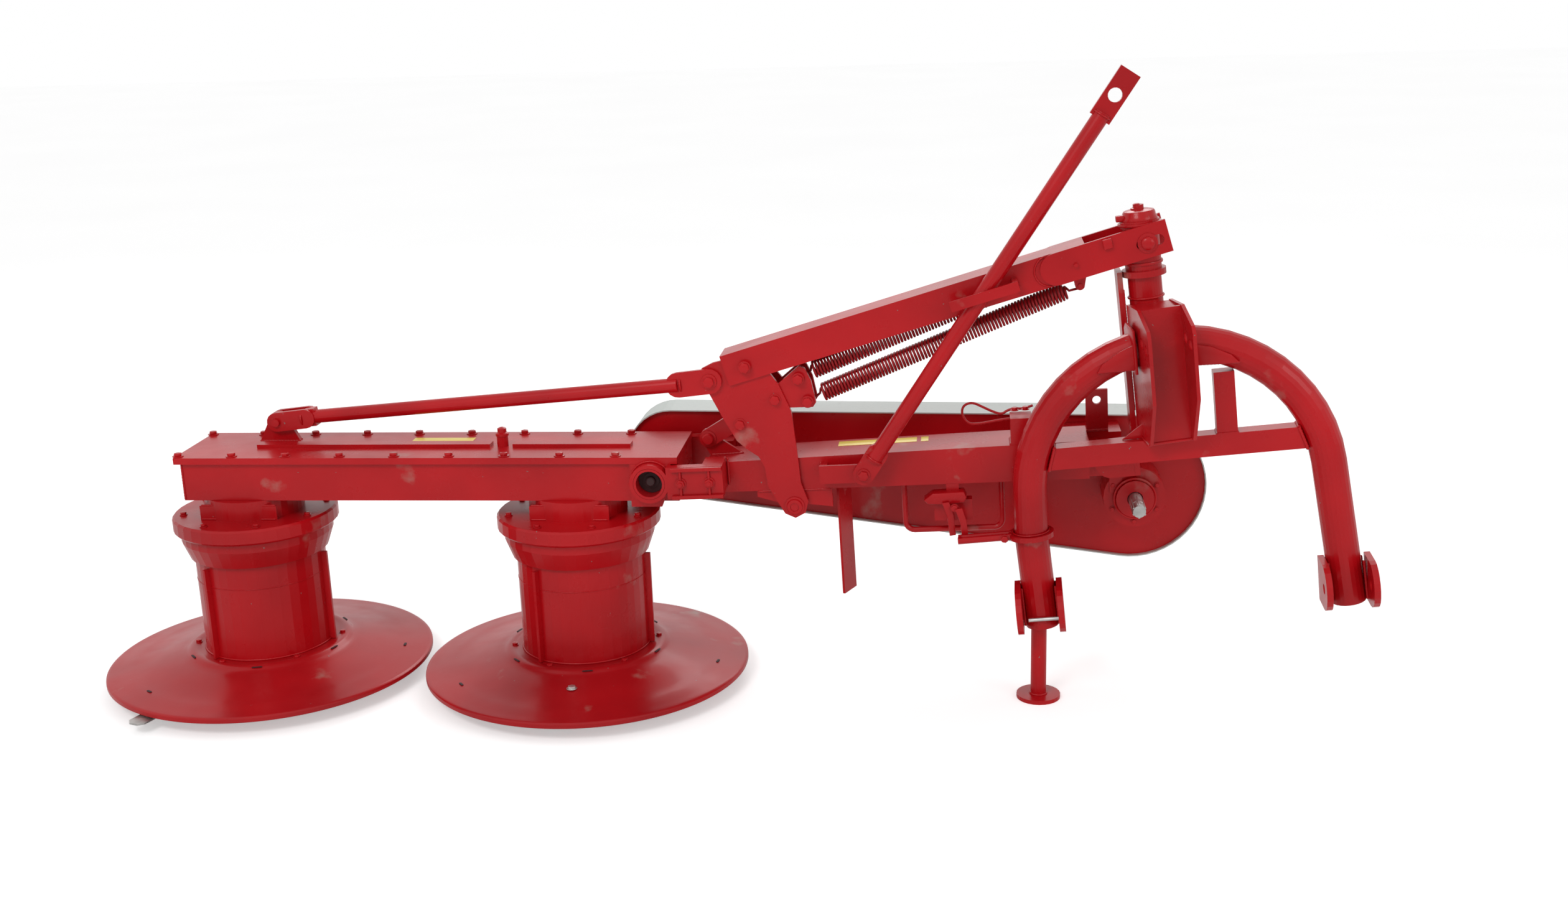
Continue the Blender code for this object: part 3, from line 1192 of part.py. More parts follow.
def swivel(paint, parent):
    """The swivelling frame: head on the post, strap and hinge lugs."""
    flange = POST_TOP + GAP
    tube_top = flange + HEAD_HEIGHT
    ring_top = tube_top + HEAD_RING_THICK
    cap_top = ring_top + CAP_RISE
    head = turned([
        (0, flange), (HEAD_FLANGE_RADIUS, flange), (HEAD_FLANGE_RADIUS, flange + HEAD_FLANGE_THICK),
        (HEAD_RADIUS, flange + HEAD_FLANGE_THICK), (HEAD_RADIUS, tube_top), (HEAD_RING_RADIUS, tube_top),
        (HEAD_RING_RADIUS, ring_top), (CAP_RADIUS, ring_top), (CAP_RADIUS * CAP_TOP_SHARE, cap_top),
        (NIPPLE_RADIUS, cap_top), (NIPPLE_RADIUS, cap_top + NIPPLE_RISE), (0, cap_top + NIPPLE_RISE),
    ], 32)
    add("swivel_head", head, paint, parent)
    outer = -(HEAD_FLANGE_RADIUS + GAP)
    foot_top = POST_BOTTOM - RUN_CLEAR - WELD_BITE
    foot_low = LUG_Z - LUG_RADIUS
    front, back = STRAP_FRONT, STRAP_FRONT + STRAP_WIDTH
    strap = block((outer - STRAP_THICK, front, foot_low), (outer, back, flange + HEAD_FLANGE_THICK))
    foot_floor = foot_top - FOOT_FLANGE_THICK
    foot_corner = (outer - WELD_BITE, front + WELD_BITE, foot_floor)
    foot = block(foot_corner, (POST_RADIUS, back - WELD_BITE, foot_top))
    spigot = rod((0, 0, foot_top - WELD_BITE), (0, 0, POST_BOTTOM - GAP), SPIGOT_RADIUS)
    lugs = []
    gap = TONGUE_WIDTH / 2 + GAP
    for side in (-1, 1):
        near, far = sorted((LUG_PLANE + side * gap, LUG_PLANE + side * (gap + LUG_THICK)))
        eye = circle(LUG_X, LUG_Z, LUG_RADIUS, 12, math.pi / 2, math.pi)
        outline = eye + [(outer - WELD_BITE, LUG_Z - LUG_RADIUS), (outer - WELD_BITE, LUG_Z + LUG_RADIUS)]
        lugs.append(plate(outline, near, far))
    pin_end = gap + LUG_THICK + PIN_HEAD_THICK
    pin = cross_rod(LUG_X, LUG_Z, LUG_PLANE - pin_end, LUG_PLANE + pin_end, LUG_PIN_RADIUS)
    add("swivel_strap", welded(strap, foot, spigot, *lugs, pin), paint, parent)


def arch_line():
    """Centre line of the bent arch tube in its own frame, with a knee in the left leg."""
    bend = circle(0, 0, ARCH_RADIUS, ARCH_STEPS, math.pi - ARCH_SPLAY, -(math.pi - 2 * ARCH_SPLAY))
    left = [(-LEG_LEFT_X, -LEG_LEFT_Z), (-ARCH_KNEE_X, -ARCH_KNEE_Z)]
    return left + bend + [(LEG_RIGHT_X, -LEG_RIGHT_Z)]


def hitch_frame(paint, parent, post):
    """The arch, crossbar, strut, ears and latch bars in the arch's frame."""
    line = arch_line()
    tube = swept([(x, 0, z) for x, z in line], ARCH_TUBE_RADIUS)
    upright = turn_of(ARCH_TILT, ARCH_YAW).inverted() @ Vector((0, 0, 1))
    low = stand_foot()
    bore = STAND_RADIUS / math.cos(math.pi / TUBE_SIDES) + GAP
    top = low + upright * (STAND_INSERT + STAND_STROKE + CUT_OVERRUN)
    socket = rod(low - upright * 3 * CUT_OVERRUN, top, bore)
    tower_gap = block(
        (-TOWER_HALF_WIDTH - GAP, TOWER_WEB_FRONT * 2, TOWER_TOP / 2),
        (TOWER_HALF_WIDTH + GAP, TOWER_HALF_WIDTH, TOWER_TOP),
    )
    bmesh.ops.transform(tower_gap, matrix=arch_place().inverted() @ hitch_place(), verts=tower_gap.verts)
    split_arch(cut(tube, socket, tower_gap), paint, parent)
    low_z = CROSSBAR_TOP - CROSSBAR_HEIGHT
    outline = [
        (-arch_inner(CROSSBAR_TOP), CROSSBAR_TOP), (-arch_inner(low_z), low_z),
        (arch_inner(low_z), low_z), (arch_inner(CROSSBAR_TOP), CROSSBAR_TOP),
    ]
    add("crossbar", plate(outline, -CROSSBAR_DEPTH / 2, CROSSBAR_DEPTH / 2), paint, parent)
    strut_top = arch_inner(STRUT_X + STRUT_WIDTH / 2)
    strut = block(
        (STRUT_X - STRUT_WIDTH / 2, -STRUT_DEPTH / 2, CROSSBAR_TOP + GAP),
        (STRUT_X + STRUT_WIDTH / 2, STRUT_DEPTH / 2, strut_top - GAP),
    )
    add("arch_strut", strut, paint, parent)
    ears(paint, parent, line)
    latch_bars(paint, parent)
    tower(paint, post)
    add("post_tube", rod((0, 0, POST_BOTTOM), (0, 0, POST_TOP), POST_RADIUS, 32), paint, post)


def stand_foot():
    """Place in the arch's frame where the stand leaves the left leg."""
    return Vector((-LEG_LEFT_X - STAND_OFFSET, 0, -LEG_LEFT_Z))


def turn_of(tilt, yaw):
    """Turn of a frame that leans about Y and then turns about its own Z."""
    return Matrix.Rotation(-tilt, 4, "Y") @ Matrix.Rotation(yaw, 4, "Z")


def arch_place():
    """Place and turn of the arch's frame."""
    return Matrix.Translation((ARCH_X, ARCH_Y, ARCH_Z)) @ turn_of(ARCH_TILT, ARCH_YAW)


def hitch_place():
    """Place and turn of the tower's frame, which stands on the post's axis."""
    return Matrix.Translation((POST_X, POST_Y, POST_Z)) @ turn_of(HITCH_TILT, HITCH_YAW)


def split_arch(halves, paint, parent):
    """Add the two halves of the arch, which end at the tower's sides."""
    for name, side in (("arch_left", -1), ("arch_right", 1)):
        half = halves.copy()
        gone = [face for face in half.faces if face.calc_center_median().x * side < 0]
        bmesh.ops.delete(half, geom=gone, context="FACES")
        add(name, half, paint, parent)
    halves.free()


def arch_inner(height):
    """Half the clear width inside the arch's bend at a height."""
    step = (math.pi - 2 * ARCH_SPLAY) / ARCH_STEPS
    inner = (ARCH_RADIUS - ARCH_TUBE_RADIUS) * math.cos(step / 2) - GAP
    return math.sqrt(inner ** 2 - height ** 2)


def tower(paint, parent):
    """The open channel that carries the post and takes the top link."""
    half = TOWER_HALF_WIDTH
    sheet = TOWER_SHEET
    front_top = TOWER_WEB_FRONT - TOWER_WING_TOP
    front_low = TOWER_WEB_FRONT - TOWER_WING_FOOT
    shoulder = TOWER_BOTTOM + (TOWER_TOP - TOWER_BOTTOM) * TOWER_SHOULDER_SHARE
    back = STRAP_FRONT - 2 * RUN_CLEAR
    outline = [
        (front_low, TOWER_BOTTOM), (back, TOWER_BOTTOM), (back, TOWER_TOP - sheet),
        (TOWER_WEB_FRONT, TOWER_TOP), (front_top + sheet, TOWER_TOP - sheet * 4),
        (front_top, TOWER_TOP - sheet * 6), (front_top + sheet, shoulder),
    ]
    bore = TOWER_HOLE_RADIUS
    holes = [
        circle(front_top + bore * inward, TOWER_TOP - bore * down, bore)
        for inward, down in TOWER_HOLE_SHARES
    ]
    bodies = []
    for side in (-1, 1):
        near, far = sorted((side * half, side * (half - sheet)))
        wing = plate(outline, near, far, holes)
        wing = moved(wing, turn=Matrix.Rotation(math.pi / 2, 4, "Z") @ Matrix.Scale(-1, 4, (0, 1, 0)))
        bmesh.ops.recalc_face_normals(wing, faces=wing.faces)
        bodies.append(wing)
    web_low, web_high = TOWER_BOTTOM + GAP, TOWER_TOP - WELD_BITE
    web_back = TOWER_WEB_FRONT + sheet
    inner = half - WELD_BITE
    bodies.append(block((-inner, TOWER_WEB_FRONT, web_low), (inner, web_back, web_high)))
    for low in (TOWER_BOTTOM + WELD_BITE, TOWER_TOP - 2 * sheet - WELD_BITE):
        near, far = TOWER_WEB_FRONT + sheet - WELD_BITE, back - WELD_BITE
        bodies.append(block((-inner, near, low), (inner, far, low + sheet)))
    seat = rod((0, 0, TOWER_BOTTOM - CUT_OVERRUN), (0, 0, TOWER_TOP + CUT_OVERRUN), POST_RADIUS + GAP, 32)
    add("tower", cut(welded(*bodies), seat), paint, parent)


def ears(paint, parent, line):
    """The drilled plates for the lower links, two on each leg."""
    legs = (("left", -1, line[0], line[1]), ("right", 1, line[-1], line[-2]))
    for name, side, foot, knee in legs:
        low = foot[1] + GAP
        lean = (knee[0] - foot[0]) / (knee[1] - foot[1])
        for part, way in (("outer", side), ("inner", -side)):
            swell = max(0.0, lean * way) * (EAR_HEIGHT + GAP)
            face = foot[0] + way * (ARCH_TUBE_RADIUS + swell + 2 * GAP)
            near, far = sorted((face, face + way * EAR_THICK))
            front, back, half = -EAR_REACH, EAR_BACK, EAR_HEIGHT / 2
            nose = circle(front + half, low + half, half, 10, math.pi / 2, math.pi)
            outline = nose + [(back, low), (back, low + EAR_HEIGHT)]
            hole = circle(front + EAR_HOLE_INSET, low + half, EAR_HOLE_RADIUS)
            ear = plate(outline, near, far, [hole])
            ear = moved(ear, turn=Matrix.Rotation(math.pi / 2, 4, "Z") @ Matrix.Scale(-1, 4, (0, 1, 0)))
            bmesh.ops.recalc_face_normals(ear, faces=ear.faces)
            add("ear_" + name + "_" + part, ear, paint, parent)


def latch_bars(paint, parent):
    """The twin bars clamped at the left leg's knee that hold the latch."""
    leg_x, level = -ARCH_KNEE_X, LATCH_COLLAR_THICK / 2 - ARCH_KNEE_Z
    outer = circle(leg_x, 0, ARCH_TUBE_RADIUS + LATCH_COLLAR_WIDTH, TUBE_SIDES)
    lean = LATCH_COLLAR_THICK * math.tan(ARCH_SPLAY) / 2
    bore = ARCH_TUBE_RADIUS / math.cos(math.pi / TUBE_SIDES) + GAP + lean
    inner = circle(leg_x, 0, bore, TUBE_SIDES)
    ring = plate(outer, 0, LATCH_COLLAR_THICK, [inner])
    ring = moved(ring, (0, 0, level), Matrix.Rotation(-math.pi / 2, 4, "X"))
    edge = leg_x - ARCH_TUBE_RADIUS - LATCH_COLLAR_WIDTH
    middle = level - LATCH_COLLAR_THICK / 2
    bars = []
    for side in (-1, 1):
        y = side * LATCH_BAR_RADIUS * LATCH_SPREAD_SHARE
        ends = (edge - LATCH_BAR_REACH, y, middle), (edge + LATCH_COLLAR_WIDTH / 2, y, middle)
        bars.append(rod(*ends, LATCH_BAR_RADIUS, 12))
    tie = block(
        (edge - LATCH_BAR_REACH, -LATCH_BAR_RADIUS, level - LATCH_COLLAR_THICK),
        (edge - LATCH_BAR_REACH + LATCH_BAR_RADIUS, LATCH_BAR_RADIUS, level),
    )
    add("latch_bars", welded(ring, *bars, tie), paint, parent)


def stand(paint, parent, foot_z):
    """The sliding stand with its round foot."""
    body = turned([
        (0, 0), (STAND_FOOT_RADIUS, 0), (STAND_FOOT_RADIUS, STAND_FOOT_THICK),
        (STAND_RADIUS, STAND_FOOT_THICK), (STAND_RADIUS, foot_z + STAND_INSERT), (0, foot_z + STAND_INSERT),
    ], TUBE_SIDES)
    add("parking_stand", body, paint, parent)


def pawl(paint, parent, offset):
    """The latch pawl that hangs from the guide rod."""
    mid = (GUIDE_LEFT_X + GUIDE_RIGHT_X) / 2
    low = BEAM_FLOOR - PAWL_DROP - PAWL_HEIGHT
    long, thin, back = PAWL_LENGTH / 2, PAWL_THICK / 2, PAWL_THICK - BEAM_FRONT
    body = block((mid - long, -BEAM_FRONT, low), (mid + long, back, low + PAWL_HEIGHT))
    neck = block((mid - thin, -BEAM_FRONT, low), (mid + thin, back, BEAM_FLOOR - GAP))
    add("latch_pawl", welded(body, neck), paint, parent, offset)


def build():
    """Build every sub-part and set the origin under the whole."""
    clear_scene()
    red = finish("red_paint", *RED_FINISH)
    zinc = finish("galvanised", *ZINC_FINISH)
    steel = finish("bare_steel", *STEEL_FINISH)
    root = frame("mower", None, (0, 0, 0))
    cutter = frame("frame_cutter_bar", root, (0, 0, 0))
    gear_case(red, cutter)
    case_lid(red, cutter)
    case_nose(red, cutter)
    for number, place in ((1, -DRUM_PITCH), (2, 0.0)):
        still = frame("seat_drum_" + str(number), cutter, (place, 0, 0))
        collar("collar_" + str(number), red, still)
        axis = frame("axis_drum_" + str(number), cutter, (place, 0, 0))
        phase = KNIFE_PHASES[number - 1]
        drum("drum_" + str(number), red, axis, RIB_PHASES[number - 1])
        saucer("disc_" + str(number), red, axis, phase)
        glide = frame("axis_skid_" + str(number), cutter, (place, 0, 0))
        skid("skid_" + str(number), steel, glide)
        for index in range(KNIVES_PER_DRUM):
            angle = phase + 2 * math.pi * index / KNIVES_PER_DRUM
            spot = (KNIFE_PIVOT_RADIUS * math.cos(angle), KNIFE_PIVOT_RADIUS * math.sin(angle), 0)
            rest = angle + KNIFE_SHOWN if (number, index) == (1, 0) else angle + KNIFE_FOLDED
            stem = "{}_{}".format(number, index + 1)
            pivot = frame("axis_knife_" + stem, axis, spot, Matrix.Rotation(rest, 4, "Z"))
            knife("knife_" + stem, steel, pivot)
    beam = frame("axis_cutter_bar", root, (HINGE_X, 0, HINGE_Z), Matrix.Rotation(-BEAM_TILT, 4, "Y"))
    main_beam(red, beam)
    hinge_bracket(red, beam)
    belt_guard(red, zinc, beam)
    input_housing(red, steel, beam)
    beam_trim(red, beam)
    links(red, beam)
    post = frame("axis_swivel", root, (POST_X, POST_Y, POST_Z), Matrix.Rotation(-HITCH_TILT, 4, "Y"))
    swivel(red, post)
    frame("axis_beam", post, (LUG_X, 0, LUG_Z))
    hitch = frame("frame_hitch", post, (0, 0, 0), Matrix.Rotation(HITCH_YAW, 4, "Z"))
    arch = frame("frame_arch", root, (ARCH_X, ARCH_Y, ARCH_Z), turn_of(ARCH_TILT, ARCH_YAW))
    hitch_frame(red, arch, hitch)
    bpy.context.view_layer.update()
    foot = arch.matrix_world @ stand_foot()
    slide = frame("axis_stand", root, (foot.x, foot.y, 0))
    stand(red, slide, foot.z)
    centre(root)


def links(paint, beam):
    """The lever gear, stay rod and latch pawl, each on its pivot."""
    places = (
        ("axis_lever", LEVER_PIVOT_X, LEVER_PIVOT_Z, lever),
        ("axis_tie_rod", TIE_PIN_X, TIE_PIN_Z, tie_rod),
        ("axis_upper_arm", ARM_PIN_X, ARM_PIN_Z, upper_arm),
        ("axis_springs", SPRING_UPPER_X, SPRING_UPPER_Z, springs),
        ("place_stop_link", STOP_PIN_X, STOP_PIN_Z, stop_link),
        ("axis_stay_rod", STAY_PIN_X, STAY_PIN_Z, stay_rod),
        ("axis_latch_pawl", (GUIDE_LEFT_X + GUIDE_RIGHT_X) / 2, BEAM_FLOOR - GUIDE_RADIUS, pawl),
    )
    for name, x, z, make in places:
        pivot = frame(name, beam, (x, 0, z))
        make(paint, pivot, (-x, 0, -z))


def centre(root):
    """Put the origin at the middle of the footprint, on the ground."""
    bpy.context.view_layer.update()
    points = [
        obj.matrix_world @ vertex.co
        for obj in bpy.data.objects if obj.type == "MESH" for vertex in obj.data.vertices
    ]
    low = [min(point[axis] for point in points) for axis in range(3)]
    high = [max(point[axis] for point in points) for axis in range(3)]
    root.location = (-(low[0] + high[0]) / 2, -(low[1] + high[1]) / 2, -low[2])
    bpy.context.view_layer.update()


build()
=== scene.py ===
"""Dresses the two-drum mower: paint, steel, fasteners, welds, trim, camera and light.

Every place is written in a frame of the mower: the level cutter bar, the beam
at its hinge, the upper arm, the post, the tower or the arch. Their origins
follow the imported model, and all sizes are in metres.
"""

from __future__ import annotations

import logging
import math
from dataclasses import dataclass, field
from enum import Enum
from typing import Iterable, Sequence

import bmesh
import bpy
from mathutils import Matrix, Vector

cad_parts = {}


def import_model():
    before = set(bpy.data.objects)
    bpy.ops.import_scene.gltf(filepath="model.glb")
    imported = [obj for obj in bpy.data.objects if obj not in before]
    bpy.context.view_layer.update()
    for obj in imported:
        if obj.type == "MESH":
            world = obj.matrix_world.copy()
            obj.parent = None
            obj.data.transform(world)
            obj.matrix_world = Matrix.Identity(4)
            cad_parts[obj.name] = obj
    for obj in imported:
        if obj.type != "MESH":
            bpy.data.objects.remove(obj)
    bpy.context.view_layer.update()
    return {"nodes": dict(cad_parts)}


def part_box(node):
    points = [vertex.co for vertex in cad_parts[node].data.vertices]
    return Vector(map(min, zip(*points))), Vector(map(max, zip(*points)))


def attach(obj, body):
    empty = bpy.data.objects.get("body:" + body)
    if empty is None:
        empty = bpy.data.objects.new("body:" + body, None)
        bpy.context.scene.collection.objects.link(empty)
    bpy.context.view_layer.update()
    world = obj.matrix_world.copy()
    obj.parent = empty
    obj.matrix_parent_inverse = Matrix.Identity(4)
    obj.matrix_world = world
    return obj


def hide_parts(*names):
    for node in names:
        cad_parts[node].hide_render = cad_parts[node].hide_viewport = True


LOG = logging.getLogger("mower")
LABEL_EASE = 0.0002
Point = Sequence[float]
Line = Sequence[Point]


class Axis(Enum):
    """Direction that a round piece points along, in its own frame."""

    FRONT = (0.0, -1.0, 0.0)
    BACK = (0.0, 1.0, 0.0)
    UP = (0.0, 0.0, 1.0)
    DOWN = (0.0, 0.0, -1.0)

    @property
    def turn(self) -> Matrix:
        """Matrix that turns +Z to this direction."""
        return Vector((0.0, 0.0, 1.0)).rotation_difference(Vector(self.value)).to_matrix().to_4x4()


@dataclass(frozen=True)
class Place:
    """A frame of the mower: an origin, a tilt about Y, and a yaw about its own Z."""

    origin: Vector
    tilt: float = 0.0
    yaw: float = 0.0

    @property
    def matrix(self) -> Matrix:
        """The frame's matrix in the model's frame."""
        turn = Matrix.Rotation(-self.tilt, 4, "Y") @ Matrix.Rotation(self.yaw, 4, "Z")
        return Matrix.Translation(self.origin) @ turn

    def at(self, point: Point) -> Vector:
        """Carry a point of this frame to the model's frame.

        Args:
            point: the place in this frame, in metres.

        Returns:
            The place in the model's frame.
        """
        return self.matrix @ Vector(point)


class Layout:
    """The mower's frames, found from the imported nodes."""

    HINGE = (0.204, 0.0, 0.543)
    POST = (1.399, -0.020, 0.580)
    ARCH = (1.4305, -0.112, 0.533)
    ARM_PIN = (0.239, -0.020, 0.258)
    DECK = (0.125, 0.0, 0.021)
    BEAM_TILT = math.radians(2.2)
    DECK_TILT = math.radians(1.14)
    ARM_TILT = math.radians(14.63)
    HITCH_TILT = math.radians(6.5)
    HITCH_YAW = math.radians(6.0)
    ARCH_TILT = math.radians(5.8)
    ARCH_YAW = math.radians(-2.0)
    DRUM_PITCH = 0.825

    def __init__(self) -> None:
        """Find the frames from the inner drum's skid bowl."""
        low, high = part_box("skid_2")
        self.inner = Vector(((low[0] + high[0]) / 2, 0.0, 0.0))
        self.cutter = Place(self.inner)
        self.beam = Place(self.inner + Vector(self.HINGE), self.BEAM_TILT)
        self.post = Place(self.inner + Vector(self.POST), self.HITCH_TILT)
        self.hitch = Place(self.inner + Vector(self.POST), self.HITCH_TILT, self.HITCH_YAW)
        self.arch = Place(self.inner + Vector(self.ARCH), self.ARCH_TILT, self.ARCH_YAW)
        self.arm = Place(self.beam.at(self.ARM_PIN), self.BEAM_TILT + self.ARM_TILT)
        self.deck = Place(self.beam.at(self.DECK), self.BEAM_TILT + self.DECK_TILT)
        self.world = Place(Vector((0.0, 0.0, 0.0)))

    def drum(self, number: int) -> Place:
        """Return the frame of a drum, 1 for the outer one and 2 for the inner one."""
        shift = -self.DRUM_PITCH if number == 1 else 0.0
        return Place(self.inner + Vector((shift, 0.0, 0.0)))


class NodeTree:
    """A short way to write a material's node tree."""

    def __init__(self, name: str) -> None:
        """Start a material.

        Args:
            name: the material's name.
        """
        self.material = bpy.data.materials.new(name)
        self.material.use_nodes = True
        self.tree = self.material.node_tree
        self.shader = self.tree.nodes["Principled BSDF"]
        self.place = self.tree.nodes.new("ShaderNodeTexCoord").outputs["Object"]

    def node(self, kind: str, **values: object) -> bpy.types.Node:
        """Add a node.

        Args:
            kind: the node's type name.
            values: its properties, or its inputs by name with spaces as underscores.

        Returns:
            The new node.
        """
        node = self.tree.nodes.new(kind)
        for key, value in values.items():
            if hasattr(node, key):
                setattr(node, key, value)
            else:
                node.inputs[key.replace("_", " ")].default_value = value
        return node

    def join(self, source: bpy.types.NodeSocket, target: bpy.types.NodeSocket) -> None:
        """Link two sockets."""
        self.tree.links.new(source, target)

    def noise(self, grain: Grain) -> bpy.types.NodeSocket:
        """Add a noise texture in object space and return its factor.

        Args:
            grain: the pattern's scale, detail and stretch.

        Returns:
            The socket of the noise's factor.
        """
        mapping = self.node("ShaderNodeMapping")
        mapping.inputs["Scale"].default_value = grain.stretch
        self.join(self.place, mapping.inputs["Vector"])
        noise = self.node("ShaderNodeTexNoise", Scale=grain.scale, Detail=grain.detail)
        self.join(mapping.outputs["Vector"], noise.inputs["Vector"])
        return noise.outputs["Fac"]

    def ramp(
        self, source: bpy.types.NodeSocket, stops: Sequence[tuple[float, Point]],
    ) -> bpy.types.NodeSocket:
        """Add a colour ramp on a factor and return its colour.

        Args:
            source: the factor.
            stops: positions from 0 to 1, each with its colour.

        Returns:
            The socket of the colour.
        """
        ramp = self.node("ShaderNodeValToRGB")
        band = ramp.color_ramp
        while len(band.elements) < len(stops):
            band.elements.new(0.5)
        for element, (position, colour) in zip(band.elements, stops):
            element.position = position
            element.color = (*colour, 1.0)
        self.join(source, ramp.inputs["Fac"])
        return ramp.outputs["Color"]

    def mask(self, source: bpy.types.NodeSocket, low: float, high: float) -> bpy.types.NodeSocket:
        """Stretch a factor between two limits to the range 0 to 1.

        Args:
            source: the factor.
            low: the value that becomes 0.
            high: the value that becomes 1.

        Returns:
            The socket of the stretched factor.
        """
        span = self.node("ShaderNodeMapRange", From_Min=low, From_Max=high)
        self.join(source, span.inputs["Value"])
        return span.outputs["Result"]

    def span(self, source: bpy.types.NodeSocket, low: float, high: float) -> bpy.types.NodeSocket:
        """Spread a factor from 0 to 1 over the range between two values.

        Args:
            source: the factor.
            low: the value at 0.
            high: the value at 1.

        Returns:
            The socket of the value.
        """
        span = self.node("ShaderNodeMapRange", To_Min=low, To_Max=high)
        self.join(source, span.inputs["Value"])
        return span.outputs["Result"]

    def blend(
        self, factor: bpy.types.NodeSocket, first: bpy.types.NodeSocket | Point, second: Point,
    ) -> bpy.types.NodeSocket:
        """Mix two colours by a factor and return the colour.

        Args:
            factor: the share of the second colour.
            first: the first colour, or its socket.
            second: the second colour.

        Returns:
            The socket of the mixed colour.
        """
        mix = self.node("ShaderNodeMix", data_type="RGBA")
        self.join(factor, mix.inputs["Factor"])
        for socket, colour in ((mix.inputs[6], first), (mix.inputs[7], second)):
            if isinstance(colour, bpy.types.NodeSocket):
                self.join(colour, socket)
            else:
                socket.default_value = (*colour, 1.0)
        return mix.outputs[2]

    def bump(self, height: bpy.types.NodeSocket, distance: float, strength: float) -> None:
        """Add a bump from a height, after any bump that is there.

        Args:
            height: the height.
            distance: the depth of the bump, in metres.
            strength: its strength.
        """
        bump = self.node("ShaderNodeBump", Distance=distance, Strength=strength)
        self.join(height, bump.inputs["Height"])
        normal = self.shader.inputs["Normal"]
        if normal.is_linked:
            self.join(normal.links[0].from_socket, bump.inputs["Normal"])
        self.join(bump.outputs["Normal"], normal)


@dataclass(frozen=True)
class Grain:
    """A noise pattern in object space: its scale, its detail and its stretch."""

    scale: float
    detail: float = 4.0
    stretch: Point = (1.0, 1.0, 1.0)


@dataclass(frozen=True)
class Enamel:
    """Sprayed gloss enamel with orange peel, faint colour drift, dust and small chips."""

    name: str
    colour: Point
    deep: Point
    roughness: float = 0.24
    coat: float = 0.12
    dust: Point = (0.36, 0.30, 0.25)
    chip: Point = (0.20, 0.18, 0.17)
    chips: float = 0.745
    chip_edge: float = 0.012
    drift: Grain = Grain(3.1, 3.0)
    drift_stops: tuple[float, float] = (0.30, 0.62)
    settle: Grain = Grain(9.0, 6.0)
    settle_span: tuple[float, float] = (0.66, 0.90)
    nick: Grain = Grain(95.0, 5.0)
    sheen: Grain = Grain(14.0, 5.0)
    sheen_span: tuple[float, float] = (-0.05, 0.16)
    coat_roughness: float = 0.12
    specular: float = 0.22
    peel: Grain = Grain(420.0, 2.0)
    sag: Grain = Grain(60.0, 3.0)

    def build(self) -> bpy.types.Material:
        """Return the node material.

        Returns:
            The material.
        """
        tree = NodeTree(self.name)
        first, last = self.drift_stops
        paint = tree.ramp(tree.noise(self.drift), ((first, self.deep), (last, self.colour)))
        settle = tree.mask(tree.noise(self.settle), *self.settle_span)
        dusty = tree.blend(settle, paint, self.dust)
        nick = tree.mask(tree.noise(self.nick), self.chips, self.chips + self.chip_edge)
        tree.join(tree.blend(nick, dusty, self.chip), tree.shader.inputs["Base Color"])
        low, high = (self.roughness + change for change in self.sheen_span)
        sheen = tree.span(tree.noise(self.sheen), low, high)
        tree.join(sheen, tree.shader.inputs["Roughness"])
        tree.shader.inputs["Coat Weight"].default_value = self.coat
        tree.shader.inputs["Coat Roughness"].default_value = self.coat_roughness
        tree.shader.inputs["Specular IOR Level"].default_value = self.specular
        tree.bump(tree.noise(self.peel), 0.0004, 0.10)
        tree.bump(tree.noise(self.sag), 0.0012, 0.06)
        return tree.material


@dataclass(frozen=True)
class Steel:
    """Bare or zinc-plated steel with rolled streaks and thin rust blooms."""

    name: str
    colour: Point
    rust: Point
    roughness: float
    bloom: float
    shade: float = 0.72
    streak: Grain = Grain(38.0, 5.0)
    streak_stops: tuple[float, float] = (0.34, 0.66)
    spots: Grain = Grain(17.0, 7.0)
    spot_edge: float = 0.14
    metallic: float = 0.92
    sheen: float = 0.25

    def build(self) -> bpy.types.Material:
        """Return the node material.

        Returns:
            The material.
        """
        tree = NodeTree(self.name)
        dark = tuple(part * self.shade for part in self.colour)
        streak = tree.noise(self.streak)
        first, last = self.streak_stops
        base = tree.ramp(streak, ((first, dark), (last, self.colour)))
        spots = tree.mask(tree.noise(self.spots), self.bloom, self.bloom + self.spot_edge)
        tree.join(tree.blend(spots, base, self.rust), tree.shader.inputs["Base Color"])
        inverse = tree.node("ShaderNodeMath", operation="SUBTRACT", use_clamp=True)
        inverse.inputs[0].default_value = self.metallic
        tree.join(spots, inverse.inputs[1])
        tree.join(inverse.outputs[0], tree.shader.inputs["Metallic"])
        sheen = tree.span(streak, self.roughness, self.roughness + self.sheen)
        tree.join(sheen, tree.shader.inputs["Roughness"])
        tree.bump(streak, 0.0006, 0.15)
        return tree.material


@dataclass(frozen=True)
class Sheet:
    """Thin printed or plated sheet with faint scuffs; the same kind of sheet also gives the flat near-black
    painted shade.
    """

    name: str
    colour: Point
    scuff: Point
    roughness: float
    scuffs: Grain = Grain(70.0, 6.0, (1.0, 4.0, 1.0))
    scuff_span: tuple[float, float] = (0.58, 0.80)
    wave: Grain = Grain(160.0, 3.0)

    def build(self) -> bpy.types.Material:
        """Return the node material.

        Returns:
            The material.
        """
        tree = NodeTree(self.name)
        scuffs = tree.mask(tree.noise(self.scuffs), *self.scuff_span)
        tree.join(tree.blend(scuffs, self.colour, self.scuff), tree.shader.inputs["Base Color"])
        tree.shader.inputs["Roughness"].default_value = self.roughness
        tree.bump(tree.noise(self.wave), 0.0004, 0.08)
        return tree.material


